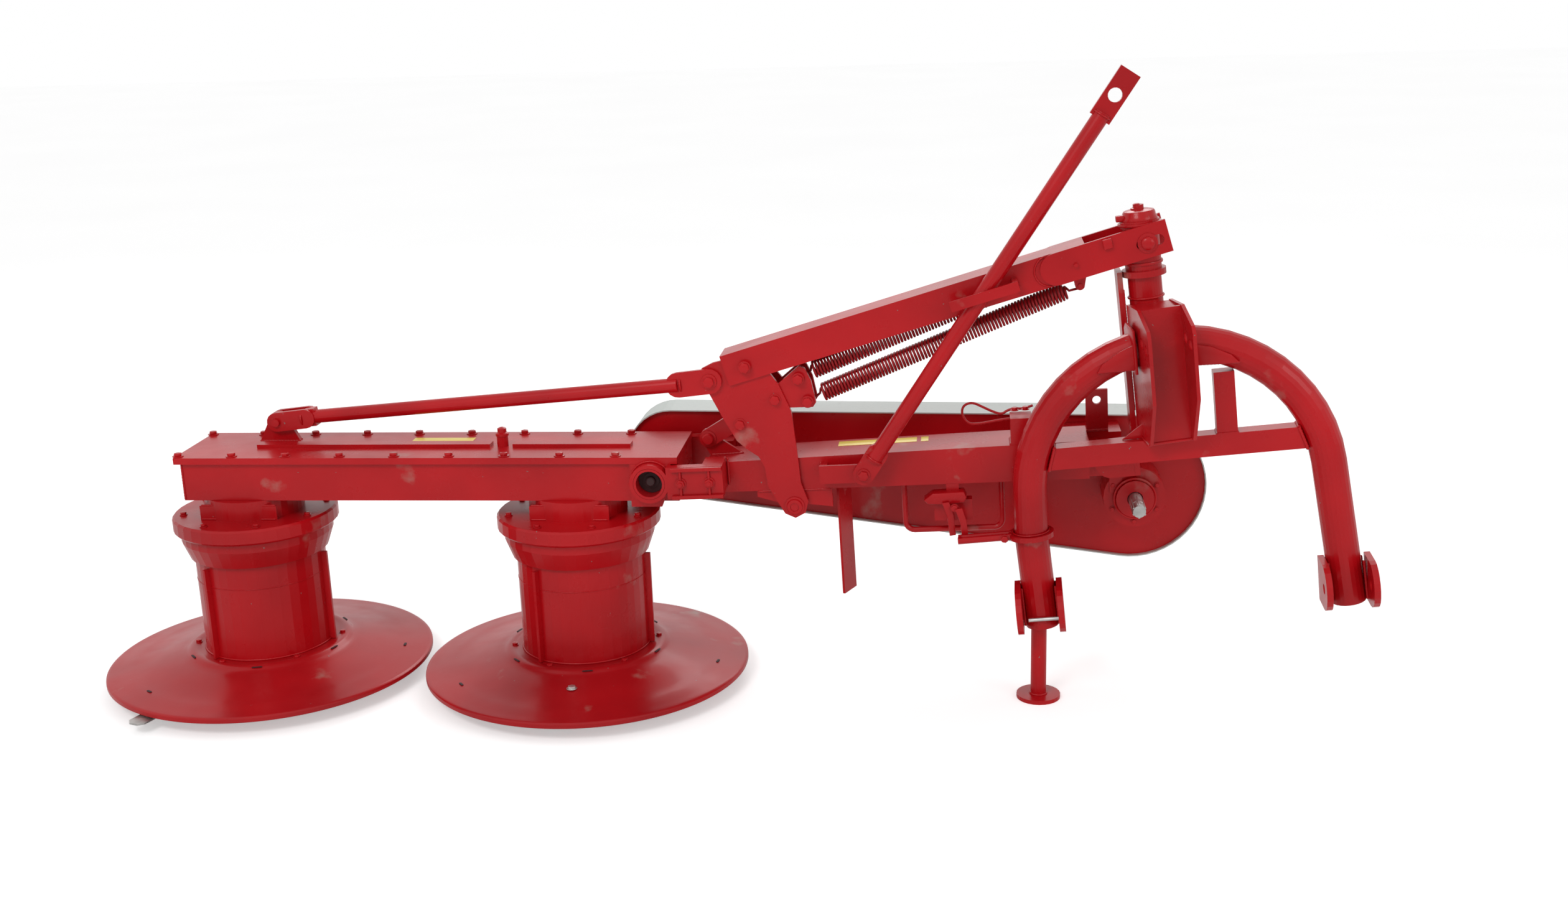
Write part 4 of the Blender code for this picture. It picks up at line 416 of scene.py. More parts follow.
class Finish(Enum):
    """Every finish on the mower, and the near-black painted shade used for the slots and the hinge pin."""

    RED = Enamel("red_enamel", (0.50, 0.0045, 0.0085), (0.36, 0.0025, 0.0055))
    SAUCER = Enamel("saucer_enamel", (0.44, 0.0050, 0.0085), (0.31, 0.0030, 0.0060), 0.27)
    SPRING = Enamel("spring_enamel", (0.32, 0.006, 0.009), (0.18, 0.004, 0.006), 0.38, 0.1)
    STEEL = Steel("ground_steel", (0.56, 0.55, 0.53), (0.20, 0.09, 0.05), 0.26, 0.60)
    SKID = Steel("worn_skid", (0.42, 0.41, 0.40), (0.19, 0.09, 0.05), 0.34, 0.50)
    ZINC = Steel("zinc_plate", (0.70, 0.70, 0.68), (0.38, 0.33, 0.26), 0.28, 0.72)
    GREY = Sheet("grey_strip", (0.52, 0.56, 0.53), (0.38, 0.41, 0.39), 0.42)
    YELLOW = Sheet("blank_sticker", (0.80, 0.60, 0.05), (0.70, 0.54, 0.10), 0.35)
    # Painted shade: a flat near-black red, used for the drums' slots and for the hinge pin.
    DARK = Sheet("deep_shadow", (0.030, 0.006, 0.007), (0.05, 0.010, 0.010), 0.70)

    @property
    def slot(self) -> str:
        """The name of the material slot for this finish."""
        return "bare_steel" if isinstance(self.value, Steel) else "red_paint"


@dataclass
class Paintshop:
    """Builds each finish once and puts it on objects."""

    made: dict[Finish, bpy.types.Material] = field(default_factory=dict)

    def coat(self, obj: bpy.types.Object, finish: Finish) -> None:
        """Give an object one finish all over; its material is made at the first use.

        Args:
            obj: the object.
            finish: the finish.
        """
        if finish not in self.made:
            self.made[finish] = finish.value.build()
        obj.data.materials.clear()
        obj.data.materials.append(self.made[finish])
        for face in obj.data.polygons:
            face.material_index = 0


def add_object(name: str, data: bpy.types.ID) -> bpy.types.Object:
    """Link a new object with this data to the scene, and return it.

    Args:
        name: the object's name.
        data: its mesh, curve, light or camera.

    Returns:
        The new object.
    """
    obj = bpy.data.objects.new(name, data)
    bpy.context.scene.collection.objects.link(obj)
    return obj


def pick(obj: bpy.types.Object) -> None:
    """Select one object alone and make it active.

    Args:
        obj: the object.
    """
    bpy.ops.object.select_all(action="DESELECT")
    obj.select_set(True)
    bpy.context.view_layer.objects.active = obj


@dataclass
class Workbench:
    """Makes pieces with Blender's modelling operators and fits them to a body."""

    paint: Paintshop
    count: int = 0

    @staticmethod
    def fresh(name: str) -> bpy.types.Object:
        """Name the object that an operator has just added, and return it.

        Args:
            name: the new name of the object and its mesh.

        Returns:
            The object.
        """
        obj = bpy.context.active_object
        obj.name = name
        obj.data.name = name
        return obj

    @staticmethod
    def bevel(obj: bpy.types.Object, width: float, limit: float | None = None) -> None:
        """Ease an object's edges.

        Args:
            obj: the object.
            width: the bevel's width, or 0 for sharp edges.
            limit: edges that bend less, in degrees, stay as they are.
        """
        if width <= 0.0:
            return
        step = obj.modifiers.new("bevel", "BEVEL")
        step.width = width
        step.segments = 2
        if limit is not None:
            step.limit_method = "ANGLE"
            step.angle_limit = math.radians(limit)
        pick(obj)
        bpy.ops.object.modifier_apply(modifier=step.name)

    def cylinder(self, name: str, radius: float, depth: float, sides: int, bevel: float) -> bpy.types.Object:
        """Make a cylinder that stands on the origin, with bevelled edges.

        Args:
            name: the object's name.
            radius: its radius.
            depth: its height along +Z.
            sides: the number of sides.
            bevel: the width of its bevel.

        Returns:
            The new object at the origin.
        """
        bpy.ops.object.select_all(action="DESELECT")
        bpy.ops.mesh.primitive_cylinder_add(vertices=sides, radius=radius, depth=depth)
        obj = self.fresh(name)
        bpy.ops.object.mode_set(mode="EDIT")
        bpy.ops.mesh.select_all(action="SELECT")
        bpy.ops.transform.translate(value=(0.0, 0.0, depth / 2))
        bpy.ops.object.mode_set(mode="OBJECT")
        self.bevel(obj, bevel, 50.0)
        return obj

    def box(self, name: str, size: Point, bevel: float) -> bpy.types.Object:
        """Make a box about the origin, with bevelled edges.

        Args:
            name: the object's name.
            size: its size along X, Y and Z.
            bevel: the width of its bevel.

        Returns:
            The new object at the origin.
        """
        bpy.ops.object.select_all(action="DESELECT")
        bpy.ops.mesh.primitive_cube_add(size=1.0)
        obj = self.fresh(name)
        bpy.ops.object.mode_set(mode="EDIT")
        bpy.ops.mesh.select_all(action="SELECT")
        bpy.ops.transform.resize(value=size)
        bpy.ops.object.mode_set(mode="OBJECT")
        self.bevel(obj, bevel)
        return obj

    def lathe(self, name: str, profile: Line, sides: int, ring: bool = False) -> bpy.types.Object:
        """Turn a profile about Z, extruding a circle from each point to the next.

        Args:
            name: the object's name.
            profile: its points as radius and height, each radius above zero.
            sides: the number of sides.
            ring: True for a closed profile round an open middle.

        Returns:
            The new object, standing on the profile's own heights.
        """
        bpy.ops.object.select_all(action="DESELECT")
        radius, height = profile[0]
        fill = "NOTHING" if ring else "NGON"
        bpy.ops.mesh.primitive_circle_add(
            vertices=sides, radius=radius, fill_type=fill, location=(0, 0, height))
        obj = self.fresh(name)
        bpy.ops.object.transform_apply(location=True)
        bpy.ops.object.mode_set(mode="EDIT")
        bpy.ops.mesh.select_all(action="SELECT")
        for next_radius, next_height in profile[1:]:
            step = {"value": (0.0, 0.0, next_height - height)}
            bpy.ops.mesh.extrude_region_move(TRANSFORM_OT_translate=step)
            scale = next_radius / radius
            bpy.ops.transform.resize(value=(scale, scale, 1.0), center_override=(0.0, 0.0, 0.0))
            radius, height = next_radius, next_height
        if ring:
            bpy.ops.mesh.select_mode(type="EDGE")
            bpy.ops.mesh.select_all(action="DESELECT")
            bpy.ops.mesh.select_non_manifold()
            bpy.ops.mesh.bridge_edge_loops()
        bpy.ops.mesh.select_all(action="SELECT")
        bpy.ops.mesh.normals_make_consistent(inside=False)
        bpy.ops.mesh.select_mode(type="VERT")
        bpy.ops.object.mode_set(mode="OBJECT")
        return obj

    def wire(self, name: str, points: Line, radius: float, smooth: bool, sides: int = 3) -> bpy.types.Object:
        """Bend a round wire or bar along points.

        Args:
            name: the object's name.
            points: its centre line.
            radius: its radius.
            smooth: True to run a smooth curve near the points, False to go through each.
            sides: the bevel resolution round the wire.

        Returns:
            The new mesh object.
        """
        data = bpy.data.curves.new(name, "CURVE")
        data.dimensions = "3D"
        data.bevel_depth = radius
        data.bevel_resolution = sides
        data.use_fill_caps = True
        spline = data.splines.new("NURBS" if smooth else "POLY")
        spline.points.add(len(points) - 1)
        for knot, point in zip(spline.points, points):
            knot.co = (*point, 1.0)
        if smooth:
            spline.order_u = 3
            spline.use_endpoint_u = True
            spline.resolution_u = 8
        pick(add_object(name, data))
        bpy.ops.object.convert(target="MESH")
        return bpy.context.active_object

    def plate(self, name: str, outline: Line, thick: float, bevel: float) -> bpy.types.Object:
        """Cut a flat plate with an outline in XZ, thick along +Y, with eased edges.

        Args:
            name: the object's name.
            outline: its corners as X and Z.
            thick: its thickness.
            bevel: the width of its bevel.

        Returns:
            The new object, its front face in the plane of X and Z.
        """
        sheet = bmesh.new()
        sheet.faces.new([sheet.verts.new((x, 0.0, z)) for x, z in outline])
        obj = add_object(name, self.mesh(name, sheet))
        pick(obj)
        bpy.ops.object.mode_set(mode="EDIT")
        bpy.ops.mesh.select_all(action="SELECT")
        bpy.ops.mesh.extrude_region_move(TRANSFORM_OT_translate={"value": (0.0, thick, 0.0)})
        bpy.ops.mesh.select_all(action="SELECT")
        bpy.ops.mesh.normals_make_consistent(inside=False)
        bpy.ops.object.mode_set(mode="OBJECT")
        self.bevel(obj, bevel)
        return obj

    @staticmethod
    def mesh(name: str, shape: bmesh.types.BMesh) -> bpy.types.Mesh:
        """Turn an edit mesh into mesh data, and free it.

        Args:
            name: the mesh's name.
            shape: the edit mesh.

        Returns:
            The mesh data.
        """
        data = bpy.data.meshes.new(name)
        shape.to_mesh(data)
        shape.free()
        return data

    def merge(self, name: str, parts: Iterable[tuple[bpy.types.Object, Matrix]]) -> bpy.types.Object:
        """Copy parts to their places in one new object, and remove the parts.

        Args:
            name: the new object's name.
            parts: each part with its place; a part may come more than once.

        Returns:
            The new object.
        """
        whole = bmesh.new()
        used: set[bpy.types.Object] = set()
        for part, matrix in parts:
            start = len(whole.verts)
            whole.from_mesh(part.data)
            whole.verts.ensure_lookup_table()
            bmesh.ops.transform(whole, matrix=matrix, verts=whole.verts[start:])
            used.add(part)
        mesh = self.mesh(name, whole)
        for part in used:
            data = part.data
            bpy.data.objects.remove(part, do_unlink=True)
            bpy.data.meshes.remove(data)
        return add_object(name, mesh)

    def fit(self, obj: bpy.types.Object, finish: Finish, body: str, smooth: float = 40.0) -> None:
        """Finish a piece, shade it and let it ride on a body.

        Args:
            obj: the piece.
            finish: its finish.
            body: the body's name.
            smooth: edges that bend less, in degrees, are shaded smooth.
        """
        self.paint.coat(obj, finish)
        pick(obj)
        bpy.ops.object.shade_smooth_by_angle(angle=math.radians(smooth))
        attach(obj, body)
        self.count += 1
        LOG.info("piece %s on %s, %d faces", obj.name, body, len(obj.data.polygons))


@dataclass(frozen=True)
class HexBolt:
    """A hexagon bolt head on a washer, with the thread's end if it stands proud."""

    across: float = 0.019
    head: float = 0.008
    washer: float = 0.0135
    washer_thick: float = 0.002
    thread: float = 0.0
    thread_share: float = 0.30
    seat: float = 0.9

    def parts(self, bench: Workbench) -> list[tuple[bpy.types.Object, Matrix]]:
        """Make the bolt's parts on the origin, pointing up.

        Args:
            bench: the workbench to make them on.

        Returns:
            Each part with its place.
        """
        parts = [(bench.cylinder("washer", self.washer, self.washer_thick, 20, 0.0004), Matrix())]
        head = bench.cylinder("head", self.across / math.sqrt(3), self.head, 6, 0.0009)
        parts.append((head, Matrix.Translation((0.0, 0.0, self.washer_thick * self.seat))))
        if self.thread > 0.0:
            radius, depth = self.across * self.thread_share, self.head + self.thread
            end = bench.cylinder("thread", radius, depth, 16, 0.0008)
            parts.append((end, Matrix.Translation((0.0, 0.0, self.washer_thick))))
        return parts


@dataclass(frozen=True)
class BoltRow:
    """Bolts of one size at several places in one frame, each turned a little further."""

    name: str
    body: str
    axis: Axis
    places: tuple[Point, ...]
    bolt: HexBolt
    finish: Finish = Finish.RED
    first_turn: float = 0.3
    next_turn: float = 0.7

    def build(self, bench: Workbench, place: Place) -> None:
        """Make the bolts and fit them to their body.

        Args:
            bench: the workbench.
            place: the frame of the places.
        """
        parts = self.bolt.parts(bench)
        spread = []
        for index, point in enumerate(self.places):
            spin = Matrix.Rotation(self.next_turn * index + self.first_turn, 4, "Z")
            matrix = place.matrix @ Matrix.Translation(Vector(point)) @ self.axis.turn @ spin
            spread += [(part, matrix @ local) for part, local in parts]
        bench.fit(bench.merge(self.name, spread), self.finish, self.body)


@dataclass(frozen=True)
class WeldBead:
    """A rippled weld bead along a line of points."""

    name: str
    body: str
    points: tuple[Point, ...]
    radius: float = 0.0030
    pitch: float = 0.0042
    closed: bool = False
    sides: int = 8
    valley: float = 0.84
    waver: float = 0.08
    waver_turn: float = 1.7
    end: float = 0.55

    def path(self) -> list[Vector]:
        """Return the bead's line at half the ripples' pitch.

        Returns:
            The points of the line.
        """
        corners = [Vector(point) for point in self.points]
        if self.closed:
            corners.append(corners[0])
        line = []
        for start, end in zip(corners, corners[1:]):
            steps = max(1, round((end - start).length / (self.pitch / 2)))
            line += [start.lerp(end, step / steps) for step in range(steps)]
        line.append(corners[-1])
        return line

    def size(self, index: int, count: int) -> float:
        """Return the bead's radius at a point of its line.

        Args:
            index: the point's number.
            count: how many points the line has.

        Returns:
            The radius there: rippled, and small at an open end.
        """
        size = self.radius * (1.0 if index % 2 else self.valley)
        size *= 1.0 + self.waver * math.sin(index * self.waver_turn)
        return size * self.end if not self.closed and index in (0, count - 1) else size

    def build(self, bench: Workbench, place: Place) -> None:
        """Make the bead and fit it to its body.

        Args:
            bench: the workbench.
            place: the frame of the points.
        """
        line = self.path()
        turns = [2 * math.pi * step / self.sides for step in range(self.sides)]
        bead = bmesh.new()
        rings: list[list[bmesh.types.BMVert]] = []
        normal = Vector((0.0, 0.0, 0.0))
        for index, point in enumerate(line):
            ahead = (line[min(index + 1, len(line) - 1)] - line[max(index - 1, 0)]).normalized()
            if normal.length < 0.5:
                normal = ahead.orthogonal().normalized()
            normal = (normal - ahead * normal.dot(ahead)).normalized()
            side = ahead.cross(normal)
            size = self.size(index, len(line))
            rings.append([bead.verts.new(point + size * (normal * math.cos(turn) + side * math.sin(turn)))
                          for turn in turns])
        for near, far in zip(rings, rings[1:]):
            for step in range(self.sides):
                bead.faces.new((near[step - 1], near[step], far[step], far[step - 1]))
        for ring in (rings[0], rings[-1]):
            bead.faces.new(ring)
        bmesh.ops.recalc_face_normals(bead, faces=bead.faces)
        bmesh.ops.transform(bead, matrix=place.matrix, verts=bead.verts)
        bench.fit(add_object(self.name, bench.mesh(self.name, bead)), Finish.RED, self.body, 60.0)


def ring_points(
    centre: Point, radius: float, axis: Axis, steps: int = 28, start: float = 0.0,
) -> tuple[Point, ...]:
    """Return points all round an axis.

    Args:
        centre: the middle of the ring.
        radius: its radius.
        axis: the ring's axis.
        steps: how many points.
        start: the first point's angle, in degrees.

    Returns:
        The points, without a repeat of the first one.
    """
    turn = axis.turn
    points = []
    for step in range(steps):
        angle = math.radians(start + 360.0 * step / steps)
        local = Vector((radius * math.cos(angle), radius * math.sin(angle), 0.0))
        points.append(tuple(Vector(centre) + turn.to_3x3() @ local))
    return tuple(points)


@dataclass(frozen=True)
class Piece:
    """One modelled piece: its body, its place in a frame, its finish and its turn."""

    name: str
    body: str
    at: Point
    finish: Finish = field(default=Finish.RED, kw_only=True)
    axis: Axis = field(default=Axis.UP, kw_only=True)
    spin: float = field(default=0.0, kw_only=True)

    def model(self, bench: Workbench) -> bpy.types.Object:
        """Model the piece at the origin; each kind of piece does it in its own way."""
        raise NotImplementedError(self.name)

    def build(self, bench: Workbench, place: Place) -> bpy.types.Object:
        """Model the piece, put it in a frame and fit it to its body.

        Args:
            bench: the workbench.
            place: the frame of the piece's place.

        Returns:
            The fitted piece.
        """
        turn = self.axis.turn @ Matrix.Rotation(math.radians(self.spin), 4, "Z")
        matrix = place.matrix @ Matrix.Translation(Vector(self.at)) @ turn
        piece = bench.merge(self.name, [(self.model(bench), matrix)])
        bench.fit(piece, self.finish, self.body)
        return piece


@dataclass(frozen=True)
class Turned(Piece):
    """A turned piece, by its profile as radius and height."""

    profile: Line
    sides: int = 32
    ring: bool = False

    def model(self, bench: Workbench) -> bpy.types.Object:
        """Turn the profile about Z."""
        return bench.lathe("turned", self.profile, self.sides, self.ring)


@dataclass(frozen=True)
class Block(Piece):
    """A block with eased edges, about its own middle."""

    size: Point
    ease: float

    def model(self, bench: Workbench) -> bpy.types.Object:
        """Make the block."""
        return bench.box("block", self.size, self.ease)


@dataclass(frozen=True)
class Flat(Piece):
    """A flat plate, by its outline in XZ and its thickness along +Y."""

    outline: Line
    thick: float
    ease: float = 0.001

    def model(self, bench: Workbench) -> bpy.types.Object:
        """Cut the plate."""
        return bench.plate("flat", self.outline, self.thick, self.ease)


@dataclass(frozen=True)
class Bent(Piece):
    """A bent wire or bar, by its centre line."""

    line: Line
    radius: float
    smooth: bool = False

    def model(self, bench: Workbench) -> bpy.types.Object:
        """Bend the wire."""
        return bench.wire("bent", self.line, self.radius, self.smooth)


@dataclass(frozen=True)
class Assembly:
    """A group of pieces that belong to one part of the mower."""

    bench: Workbench
    layout: Layout

    def add(self, place: Place, *items: Piece | BoltRow | WeldBead | Spring) -> None:
        """Build pieces, bolts, beads and springs in one frame, in order."""
        for item in items:
            item.build(self.bench, place)


@dataclass(frozen=True)
class CutterBar(Assembly):
    """Trim of the level gear case, its lid, the hinge nose and the collars."""

    body: str = "cutter_bar"
    top: float = 0.6013
    lid_rows: tuple[tuple[str, float], ...] = (("front", -0.093), ("back", 0.113))
    lid_bolt: HexBolt = HexBolt(0.017, 0.007)
    bolt_start: float = -0.965
    bolt_pitch: float = 0.1355
    bolt_count: int = 9
    sticker: Point = (0.155, 0.046, 0.0006)
    sticker_at: Point = (-0.343, 0.050)
    sticker_lift: float = 0.0004
    lug_x: float = -0.763
    lug_half: float = 0.0525
    lug_edges: tuple[tuple[str, float], ...] = (("front", 0.053), ("back", 0.067))
    plug: Line = ((0.016, 0.0), (0.016, 0.006), (0.011, 0.009), (0.011, 0.018), (0.005, 0.021))
    plug_x: float = -0.1783
    plug_lift: float = 0.026
    end_weld: Line = ((-0.957, -0.098, 0.494), (-0.957, -0.098, 0.582))
    tab_x: float = 0.072
    tab_half: float = 0.022
    tab_edges: tuple[tuple[str, float, float, float], ...] = (
        ("weld", -0.1035, 0.4445, 0.0024), ("top", -0.0995, 0.4785, 0.0022),
    )
    collar_height: float = 0.4428
    collar_ring: float = 0.172
    collar_bolt: HexBolt = HexBolt(0.013, 0.006, 0.0095)
    pin: Line = (
        (0.0305, 0.0), (0.0305, 0.002), (0.019, 0.003), (0.019, 0.006), (0.0115, 0.007),
        (0.0115, 0.016), (0.009, 0.0185),
    )
    pin_y: float = -0.0984
    journal_y: float = -0.1108
    journal_ring: float = 0.0490

    def build(self) -> None:
        """Add the lid's bolts, the blank sticker, the welds and the hinge's pin."""
        place, body = self.layout.cutter, self.body
        for side, y in self.lid_rows:
            line = tuple((self.bolt_start + self.bolt_pitch * i, y, self.top) for i in range(self.bolt_count))
            self.add(place, BoltRow("lid_bolts_" + side, body, Axis.UP, line, self.lid_bolt))
        spot = (*self.sticker_at, self.top + self.sticker_lift)
        self.add(place, Block("lid_sticker", body, spot, self.sticker, LABEL_EASE, finish=Finish.YELLOW))
        left, right = self.lug_x - self.lug_half, self.lug_x + self.lug_half
        for side, y in self.lug_edges:
            self.add(place, WeldBead("lug_weld_" + side, body, ((left, y, self.top), (right, y, self.top))))
        self.add(
            place,
            Turned("filler_cap", body, (self.plug_x, 0.0, self.top + self.plug_lift), self.plug, 20),
            WeldBead("case_end_weld", body, self.end_weld),
        )
        for number in (1, 2):
            self.collar(number)
        x, _, z = self.layout.HINGE
        ring = ring_points((x, self.journal_y, z), self.journal_ring, Axis.FRONT)
        self.add(
            place,
            # The hinge pin is drawn in the flat near-black painted shade.
            Turned("hinge_pin", body, (x, self.pin_y, z), self.pin, finish=Finish.DARK, axis=Axis.FRONT),
            WeldBead("journal_weld", body, ring, closed=True),
        )

    def collar(self, number: int) -> None:
        """Add the tab welds and the bolts of one drum's collar.

        Args:
            number: 1 for the outer drum, 2 for the inner one.
        """
        drum = self.layout.drum(number)
        for side, way in (("left", -1), ("right", 1)):
            x = way * self.tab_x
            for edge, y, z, radius in self.tab_edges:
                line = ((x - self.tab_half, y, z), (x + self.tab_half, y, z))
                self.add(drum, WeldBead(f"tab_{edge}_{number}_{side}", self.body, line, radius))
        ring = ring_points((0.0, 0.0, self.collar_height), self.collar_ring, Axis.UP, 8, 22.5)
        self.add(drum, BoltRow(f"collar_bolts_{number}", self.body, Axis.UP, ring, self.collar_bolt))


@dataclass(frozen=True)
class SlotRow:
    """Slots on one circle of the saucer, drawn as near-black inlays of painted shade; angles and slope in
    degrees.
    """

    radius: float
    angles: tuple[float, ...]
    height: float
    slope: float
    half: float


@dataclass(frozen=True)
class Drum(Assembly):
    """Fine saucer, seam, foot bolts and slots of each drum; the slots are inlays of painted shade."""

    upper: Line = (
        (0.0560, 0.0935), (0.1600, 0.0935), (0.1730, 0.0932), (0.1790, 0.0948), (0.1860, 0.0957),
        (0.1930, 0.0950), (0.1985, 0.0925), (0.2035, 0.0885), (0.2100, 0.0852), (0.2230, 0.0820),
        (0.2450, 0.0768), (0.2680, 0.0708), (0.2900, 0.0655), (0.3100, 0.0615), (0.3260, 0.0588),
        (0.3360, 0.0578), (0.3500, 0.0560), (0.3690, 0.0530), (0.3850, 0.0508), (0.3945, 0.0498),
        (0.4000, 0.0488), (0.4028, 0.0465),
    )
    edge: float = 0.4033
    edge_top: float = 0.0430
    lip_low: float = 0.0362
    lip_round: float = 0.0015
    sheet: float = 0.0040
    sides: int = 144
    seam: tuple[float, float, float] = (0.1578, 0.2790, 0.0013)
    foot: tuple[float, float, float] = (0.1590, 0.0955, 0.0026)
    foot_bolt: HexBolt = HexBolt(0.013, 0.005, 0.0090, 0.0015)
    foot_ring: float = 0.1800
    foot_height: float = 0.0940
    saucer_bolt: HexBolt = HexBolt(0.017, 0.005, 0.013, 0.0015)
    saucer_bolt_at: Point = (0.0156, -0.2560, 0.0738)
    rim_slots: tuple[SlotRow, ...] = (
        SlotRow(0.3380, (-127.0, 8.0, 118.0), 0.0577, 1.00275, 0.0095),
        SlotRow(0.3380, (-143.0, -7.0, 113.0), 0.0577, 1.00275, 0.0095),
    )
    foot_slots: SlotRow = SlotRow(0.1990, (42.0, 102.0, 162.0, 222.0, 282.0, 342.0), 0.0925, 8.595, 0.0130)
    slot_width: float = 0.0032
    slot_round: float = 0.3
    slot_thick: float = 0.0016
    slot_ease: float = 0.0004

    def build(self) -> None:
        """Dress both drums."""
        for number in (1, 2):
            self.dress(number)
        self.add(self.layout.drum(2), BoltRow(
            "saucer_bolt", "drum_2_body", Axis.UP, (self.saucer_bolt_at,), self.saucer_bolt, Finish.ZINC))

    def dress(self, number: int) -> None:
        """Replace one saucer and trim its drum.

        Args:
            number: 1 for the outer drum, 2 for the inner one.
        """
        place, body = self.layout.drum(number), f"drum_{number}_body"
        lip = (
            (self.edge, self.edge_top), (self.edge, self.lip_low + self.lip_round),
            (self.edge - self.lip_round, self.lip_low),
            (self.edge - self.sheet, self.lip_low + self.lip_round),
        )
        under = tuple((radius - self.sheet / 4, height - self.sheet)
                      for radius, height in reversed(self.upper))
        dish = Turned(f"saucer_{number}", body, (0.0, 0.0, 0.0), self.upper + lip + under, self.sides, True,
                      finish=Finish.SAUCER)
        piece = dish.build(self.bench, place)
        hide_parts("disc_{}".format(number))
        for name, (radius, height, bead) in (("drum_seam", self.seam), ("foot_weld", self.foot)):
            ring = ring_points((0.0, 0.0, height), radius, Axis.UP, 96)
            self.add(place, WeldBead(f"{name}_{number}", body, ring, bead, closed=True))
        ring = ring_points((0.0, 0.0, self.foot_height), self.foot_ring, Axis.UP, 6, 12.0)
        self.add(place, BoltRow(f"foot_bolts_{number}", body, Axis.UP, ring, self.foot_bolt))
        # The slots are thin near-black inlays: painted shade where the holes would be dark.
        rows = (self.rim_slots[number - 1], self.foot_slots)
        parts = [(slot, place.matrix @ turn) for row in rows for slot, turn in self.slots(row)]
        self.bench.fit(self.bench.merge(f"slots_{number}", parts), Finish.DARK, body)

    def slots(self, row: SlotRow) -> list[tuple[bpy.types.Object, Matrix]]:
        """Model a row of slots as thin near-black inlays of painted shade.

        Args:
            row: the slots' circle.

        Returns:
            Each slot with its place on the drum.
        """
        outline = []
        for turn in (-80, -40, 0, 40, 80, 100, 140, 180, 220, 260):
            middle = row.half * (1.0 - self.slot_round) * (1 if abs(turn) < 90 else -1)
            reach = row.half * self.slot_round * math.cos(math.radians(turn))
            outline.append((middle + reach, self.slot_width * math.sin(math.radians(turn))))
        slope = Matrix.Rotation(math.radians(-row.slope), 4, "Y")
        across = Matrix.Rotation(math.radians(90), 4, "Z") @ Matrix.Rotation(math.radians(90), 4, "X")
        parts = []
        for angle in row.angles:
            slot = self.bench.plate("slot", outline, self.slot_thick, self.slot_ease)
            spot = Matrix.Translation((row.radius, 0.0, row.height))
            parts.append((slot, Matrix.Rotation(math.radians(angle), 4, "Z") @ spot @ slope @ across))
        return parts


@dataclass(frozen=True)
class HingeBracket(Assembly):
    """Flanges, bolts and welds of the bracket at the cutter bar's hinge."""

    face: float = -0.1369
    far: float = 0.1682
    flange: Point = (0.122, 0.009, 0.009)
    flange_x: float = 0.115
    flange_z: float = 0.0335
    bolt: HexBolt = HexBolt(0.019, 0.009, thread=0.004)
    nut: HexBolt = HexBolt(0.019, 0.010, thread=0.006)
    bolt_x: tuple[float, float] = (0.0760, 0.1440)
    bolt_z: float = -0.001
    stud_radius: float = 0.0032
    stud: Line = ((0.0, 0.0, -0.029), (0.0, 0.0, 0.0), (0.0, 0.0, 0.029))
    weld: Line = ((0.1775, -0.046, -0.034), (0.1775, -0.046, 0.034))

    def build(self) -> None:
        """Add the flanges, bolts and welds at the front and the back."""
        place, half = self.layout.beam, self.flange[1] / 2
        for side, y in (("flange", self.face - half), ("back", self.far + half)):
            for edge, z in (("top", self.flange_z), ("low", -self.flange_z)):
                spot = (self.flange_x, y, z)
                self.add(place, Block(f"bracket_{side}_{edge}", "beam", spot, self.flange, 0.0012))
        for name, axis, y, bolt in (
            ("bracket_bolts", Axis.FRONT, self.face, self.bolt),
            ("bracket_nuts", Axis.BACK, self.far, self.nut),
        ):
            places = tuple((x, y, self.bolt_z) for x in self.bolt_x)
            self.add(place, BoltRow(name, "beam", axis, places, bolt))
        for x in self.bolt_x:
            spot = (x, self.face - self.stud_radius, 0.0)
            self.add(place, Bent(f"bracket_stud_{int(x * 1000)}", "beam", spot, self.stud, self.stud_radius))
        self.add(place, WeldBead("bracket_weld", "beam", self.weld))


@dataclass(frozen=True)
class Rod:
    """Weld rings and the near bolt of a rod; spots below zero are from its far end."""

    name: str
    body: str
    start: Vector
    end: Vector
    spots: tuple[float, ...]
    radius: float
    bolt: BoltRow


